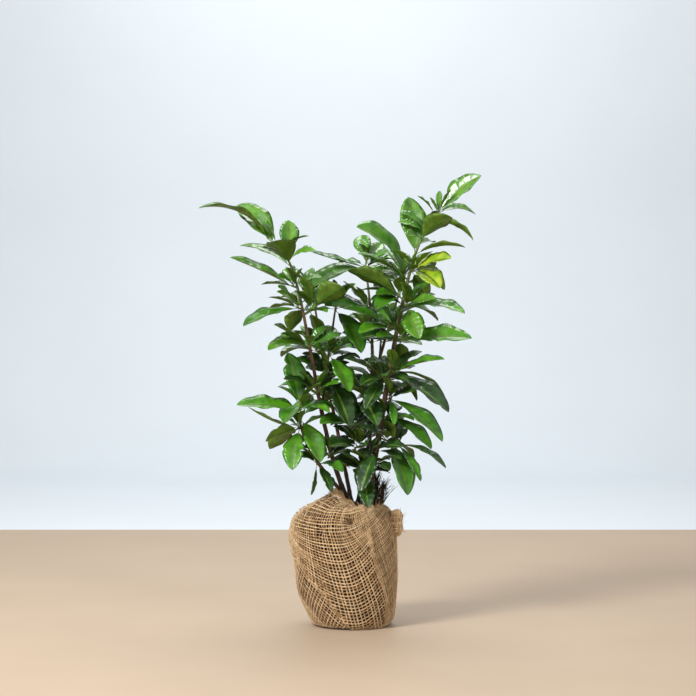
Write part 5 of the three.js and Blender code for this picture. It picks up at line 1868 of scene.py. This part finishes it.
# %% Loose fibres, straw and rootlets
HAIRS = 900
HAIR_LENGTH = (3, 9)
HAIR_RADII = [0.14, 0.14, 0.14, 0.05]
RIM_ENDS = 120
RIM_END_LENGTH = (6, 16)
STRAWS = 34
STRAW_FROM_MIDDLE = (26, 52)
STRAW_LENGTH = (14, 34)
ROOTLETS = 150
ROOT_TUFTS = [((50, 6, 0), (11, 0, 84)), ((63, -4, 0), (13, 0, 70))]
RIM_STRANDS = 16


def bent_line(start, direction, length, sag, chance, steps=5):
    share = np.linspace(0, 1, steps)[:, None]
    sway = unit(np.cross(direction, chance.normal(size=3))) * chance.uniform(0, 0.25) * length
    return start + share * length * unit(direction) + share**2 * (sway - sag * length * UP)


hairs = Bundle()
for _ in range(HAIRS):
    turn, run = chance.uniform(-180, 180), chance.uniform(6, SKIN_LENGTH - 20)
    start, out = ball_skin(turn, run, 1.0), ball_normal(turn, run)
    direction = 0.35 * out + chance.normal(size=3) * 0.5
    direction = direction - min(0, direction @ out) * out
    line = bent_line(start, direction, chance.uniform(*HAIR_LENGTH), 0.1, chance, 4)
    hairs.add(*tube(line, HAIR_RADII, 3))
for _ in range(RIM_ENDS):
    turn = chance.uniform(-180, 180)
    start = ball_skin(turn, SKIN_LENGTH - chance.uniform(0, 10), 1.0)
    direction = ball_normal(turn, SKIN_LENGTH - 12) * 0.4 + UP * 0.8 + chance.normal(size=3) * 0.5
    line = bent_line(start, direction, chance.uniform(*RIM_END_LENGTH), 0.25, chance)
    hairs.add(*tube(line, np.linspace(0.5, 0.15, 5), 4), int(chance.random() < 0.4))
turn = np.linspace(-180, 180, 220)
for _ in range(RIM_STRANDS):
    waves = sum(
        chance.uniform(0.4, 1.6) * np.sin(k * turn * DEGREE + chance.uniform(0, 6))
        for k in (3, 8, 19)
    )
    run = np.clip(SKIN_LENGTH - chance.uniform(0, 9) + waves, 0, SKIN_LENGTH)
    line = ball_skin(turn, run, chance.uniform(-1.5, 2.5) + 0.5 * waves)
    hairs.add(*tube(line, chance.uniform(0.7, 1.3), 5), int(chance.random() < 0.5))
finish_piece(hairs.piece("jute_hairs", yarn_looks))

straw_look = mottled_look("straw", (206, 178, 130), (150, 118, 76), 200, 900, 0.0003, roughness=0.8)
root_look = mottled_look("rootlet", (84, 72, 48), (30, 24, 16), 260, 900, 0.0003, roughness=0.85)
litter = Bundle()
for _ in range(STRAWS):
    angle = chance.uniform(0, 2 * np.pi)
    apart = chance.uniform(*STRAW_FROM_MIDDLE)
    start = on_circle(angle / DEGREE, apart, SOIL_TOP + 6)
    direction = np.array([chance.normal(), chance.normal(), chance.uniform(0, 0.5)])
    line = bent_line(start, direction, chance.uniform(*STRAW_LENGTH), 0.2, chance)
    line[:, 2] = np.maximum(line[:, 2], SOIL_TOP + 2)
    litter.add(*tube(line, np.linspace(0.7, 0.35, 5), 5))
for k in range(ROOTLETS):
    tuft_foot, tuft_lean = (np.array(part, float) for part in ROOT_TUFTS[k % len(ROOT_TUFTS)])
    start = tuft_foot + [2.6 * chance.normal(), 4 * chance.normal(), SOIL_TOP + 1]
    low = chance.uniform(0, 0.75)
    start = start + low * tuft_lean
    direction = unit(tuft_lean) + 0.2 * chance.normal(size=3)
    length = (1.05 - low) * np.linalg.norm(tuft_lean) * chance.uniform(0.4, 1)
    line = bent_line(start, direction, length, 0.12, chance, 7)
    litter.add(*tube(line, np.linspace(0.8, 0.25, 7), 4), 1)
finish_piece(litter.piece("straw_and_rootlets", [straw_look, root_look]))

# %% [markdown]
# ## Dead twig stubs
# Beside the collar stand two dry grey-brown stubs, each a leaning tube with knuckles where
# its buds were. The same tube function as for the shoots serves, with swellings at the
# knuckles. For each stub: its heading on a circle, its lean and its radii.

# %% Dead twig stubs
TWIG_CIRCLE = 35
TWIG_STEPS = 22
TWIG_SIDES = 9
KNUCKLES = (0.3, 0.62, 0.9)
KNUCKLE_WIDTH = 0.03
KNUCKLE_SWELL = 0.22
DRY_TWIGS = {
    "dry_twig_right": (12, (12, -10, 52), (2.6, 1.3)),
    "dry_twig_front": (312, (6, -4, 40), (2.2, 1.1)),
}
dry_look = mottled_look("dry wood", (150, 128, 96), (84, 66, 46), 150, 700, 0.0008, roughness=0.9)
for name, (heading, lean, radii) in DRY_TWIGS.items():
    foot = on_circle(heading, TWIG_CIRCLE, SOIL_TOP + GAP)
    lean = np.array(lean, float)
    share = np.linspace(0, 1, TWIG_STEPS)
    line = quadratic([foot, foot + UP * lean[2] / 2, foot + lean], share)
    swell = 1 + KNUCKLE_SWELL * sum(bump_at(share - knuckle, KNUCKLE_WIDTH) for knuckle in KNUCKLES)
    stub = Bundle()
    stub.add(*tube(line, mix(*radii, share) * swell, TWIG_SIDES))
    finish_piece(stub.piece(f"{name}_stub", [dry_look]), [name])

# %% [markdown]
# ## Floor and backdrop
# The plant stands on a plain pale floor. Behind the floor's far edge a pale sweep runs on
# and bends up far back, so that cameras all round the plant have room.

# %% Floor and backdrop
FLOOR_HALF = 4.0
FLOOR_TO = 1.8
SWEEP_FROM = 3.9
SWEEP_RADIUS = 1.4
SWEEP_HEIGHT = 5.0
FLOOR_TONES = (186, 164, 139), (181, 159, 134)
SWEEP_TONES = (222, 229, 234), (220, 227, 232)
floor_look = mottled_look("pale floor", *FLOOR_TONES, 3, 80, 0.0002, roughness=0.6)
sweep_look = mottled_look("pale sweep", *SWEEP_TONES, 2, 60, 0.0001, roughness=0.9)

deselect_all()
bpy.ops.mesh.primitive_plane_add(size=2 * FLOOR_HALF, location=(0, FLOOR_TO - FLOOR_HALF, 0))
floor = bpy.context.active_object
floor.name = "floor"
floor.data.materials.append(floor_look)
settle(floor)
floor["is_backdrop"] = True
bend = np.linspace(0, np.pi / 2, 20)
back, up = SWEEP_FROM + SWEEP_RADIUS * np.sin(bend), SWEEP_RADIUS * (1 - np.cos(bend))
profile = [(FLOOR_TO, 0), *zip(back, up), (SWEEP_FROM + SWEEP_RADIUS, SWEEP_HEIGHT)]
sides = [[(x, *point) for point in profile] for x in (-FLOOR_HALF, FLOOR_HALF)]
k = np.arange(len(profile) - 1)
count = len(profile)
faces = np.stack([k, k + count, k + count + 1, k + 1], axis=-1)
sweep = mesh_piece("sweep", np.concatenate(sides) / MM, faces, [sweep_look])
sweep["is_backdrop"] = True
print("sweep:", len(faces), "strips")

# %% [markdown]
# ## Lamps
# A large soft light from the front left and above lights the plant, with a weak one from
# the right to open the shadows, one above and one on the backdrop. Each lamp has its place
# and what it is aimed at in metres, the size of its disk, and its watts.

# %% Lamps
WORLD_LIGHT = 0.5
LAMPS = {
    "window": ((-1.9, -2.0, 2.3), (0, 0, 0.45), 1.1, 128),
    "fill": ((2.4, -2.4, 1.2), (0, 0, 0.4), 1.8, 26),
    "top": ((0.2, 0.9, 2.8), (0, 0, 0.3), 1.4, 30),
    "backdrop": ((0, 3.0, 3.6), (0, 5.3, 1.3), 2.5, 58),
}


def soft_light(name, place, aim, size, watts):
    lamp = bpy.data.lights.new(name, "AREA")
    lamp.shape = "DISK"
    lamp.size = size
    lamp.energy = watts
    holder = bpy.data.objects.new(name, lamp)
    bpy.context.scene.collection.objects.link(holder)
    holder.location = place
    direction = Vector(aim) - Vector(place)
    holder.rotation_euler = direction.to_track_quat("-Z", "Y").to_euler()


for name, lamp in LAMPS.items():
    soft_light(name, *lamp)
print(len(LAMPS), "lamps")
bpy.context.scene.view_settings.view_transform = "Standard"
world = bpy.data.worlds.new("studio")
bpy.context.scene.world = world
world.use_nodes = True
background = world.node_tree.nodes["Background"]
background.inputs["Color"].default_value = srgb(246, 247, 248)
background.inputs["Strength"].default_value = WORLD_LIGHT

# %% [markdown]
# ## Camera
# The camera has the photo's view: level, at the plant's middle height, with a portrait
# lens. A small shift moves the picture's middle to where the photo has it.

# %% Camera
FOCAL_LENGTH = 85
IMAGE_SIZE = 696
PRINCIPAL = (347, 357)
CAMERA_AT = (0, -3.29, 0.535)
SENSOR_WIDTH = 36
camera_data = bpy.data.cameras.new("camera")
camera_data.lens = FOCAL_LENGTH
camera_data.sensor_width = SENSOR_WIDTH
camera_data.shift_x = (IMAGE_SIZE / 2 - PRINCIPAL[0]) / IMAGE_SIZE
camera_data.shift_y = (PRINCIPAL[1] - IMAGE_SIZE / 2) / IMAGE_SIZE
camera = bpy.data.objects.new("camera", camera_data)
bpy.context.scene.collection.objects.link(camera)
camera.location = CAMERA_AT
camera.rotation_euler = (math.pi / 2, 0, 0)
bpy.context.scene.camera = camera
print("camera", CAMERA_AT, "metres, lens", FOCAL_LENGTH, "mm")

# %% [markdown]
# ## Measure and finish
# The dressed plant's box is measured over its shown pieces, leaving out the floor and the
# sweep. The dressed plant has to stay in the solids' box, apart from the little that
# cloth may stand proud.

# %% Measure and finish
bpy.context.view_layer.update()
low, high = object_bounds()
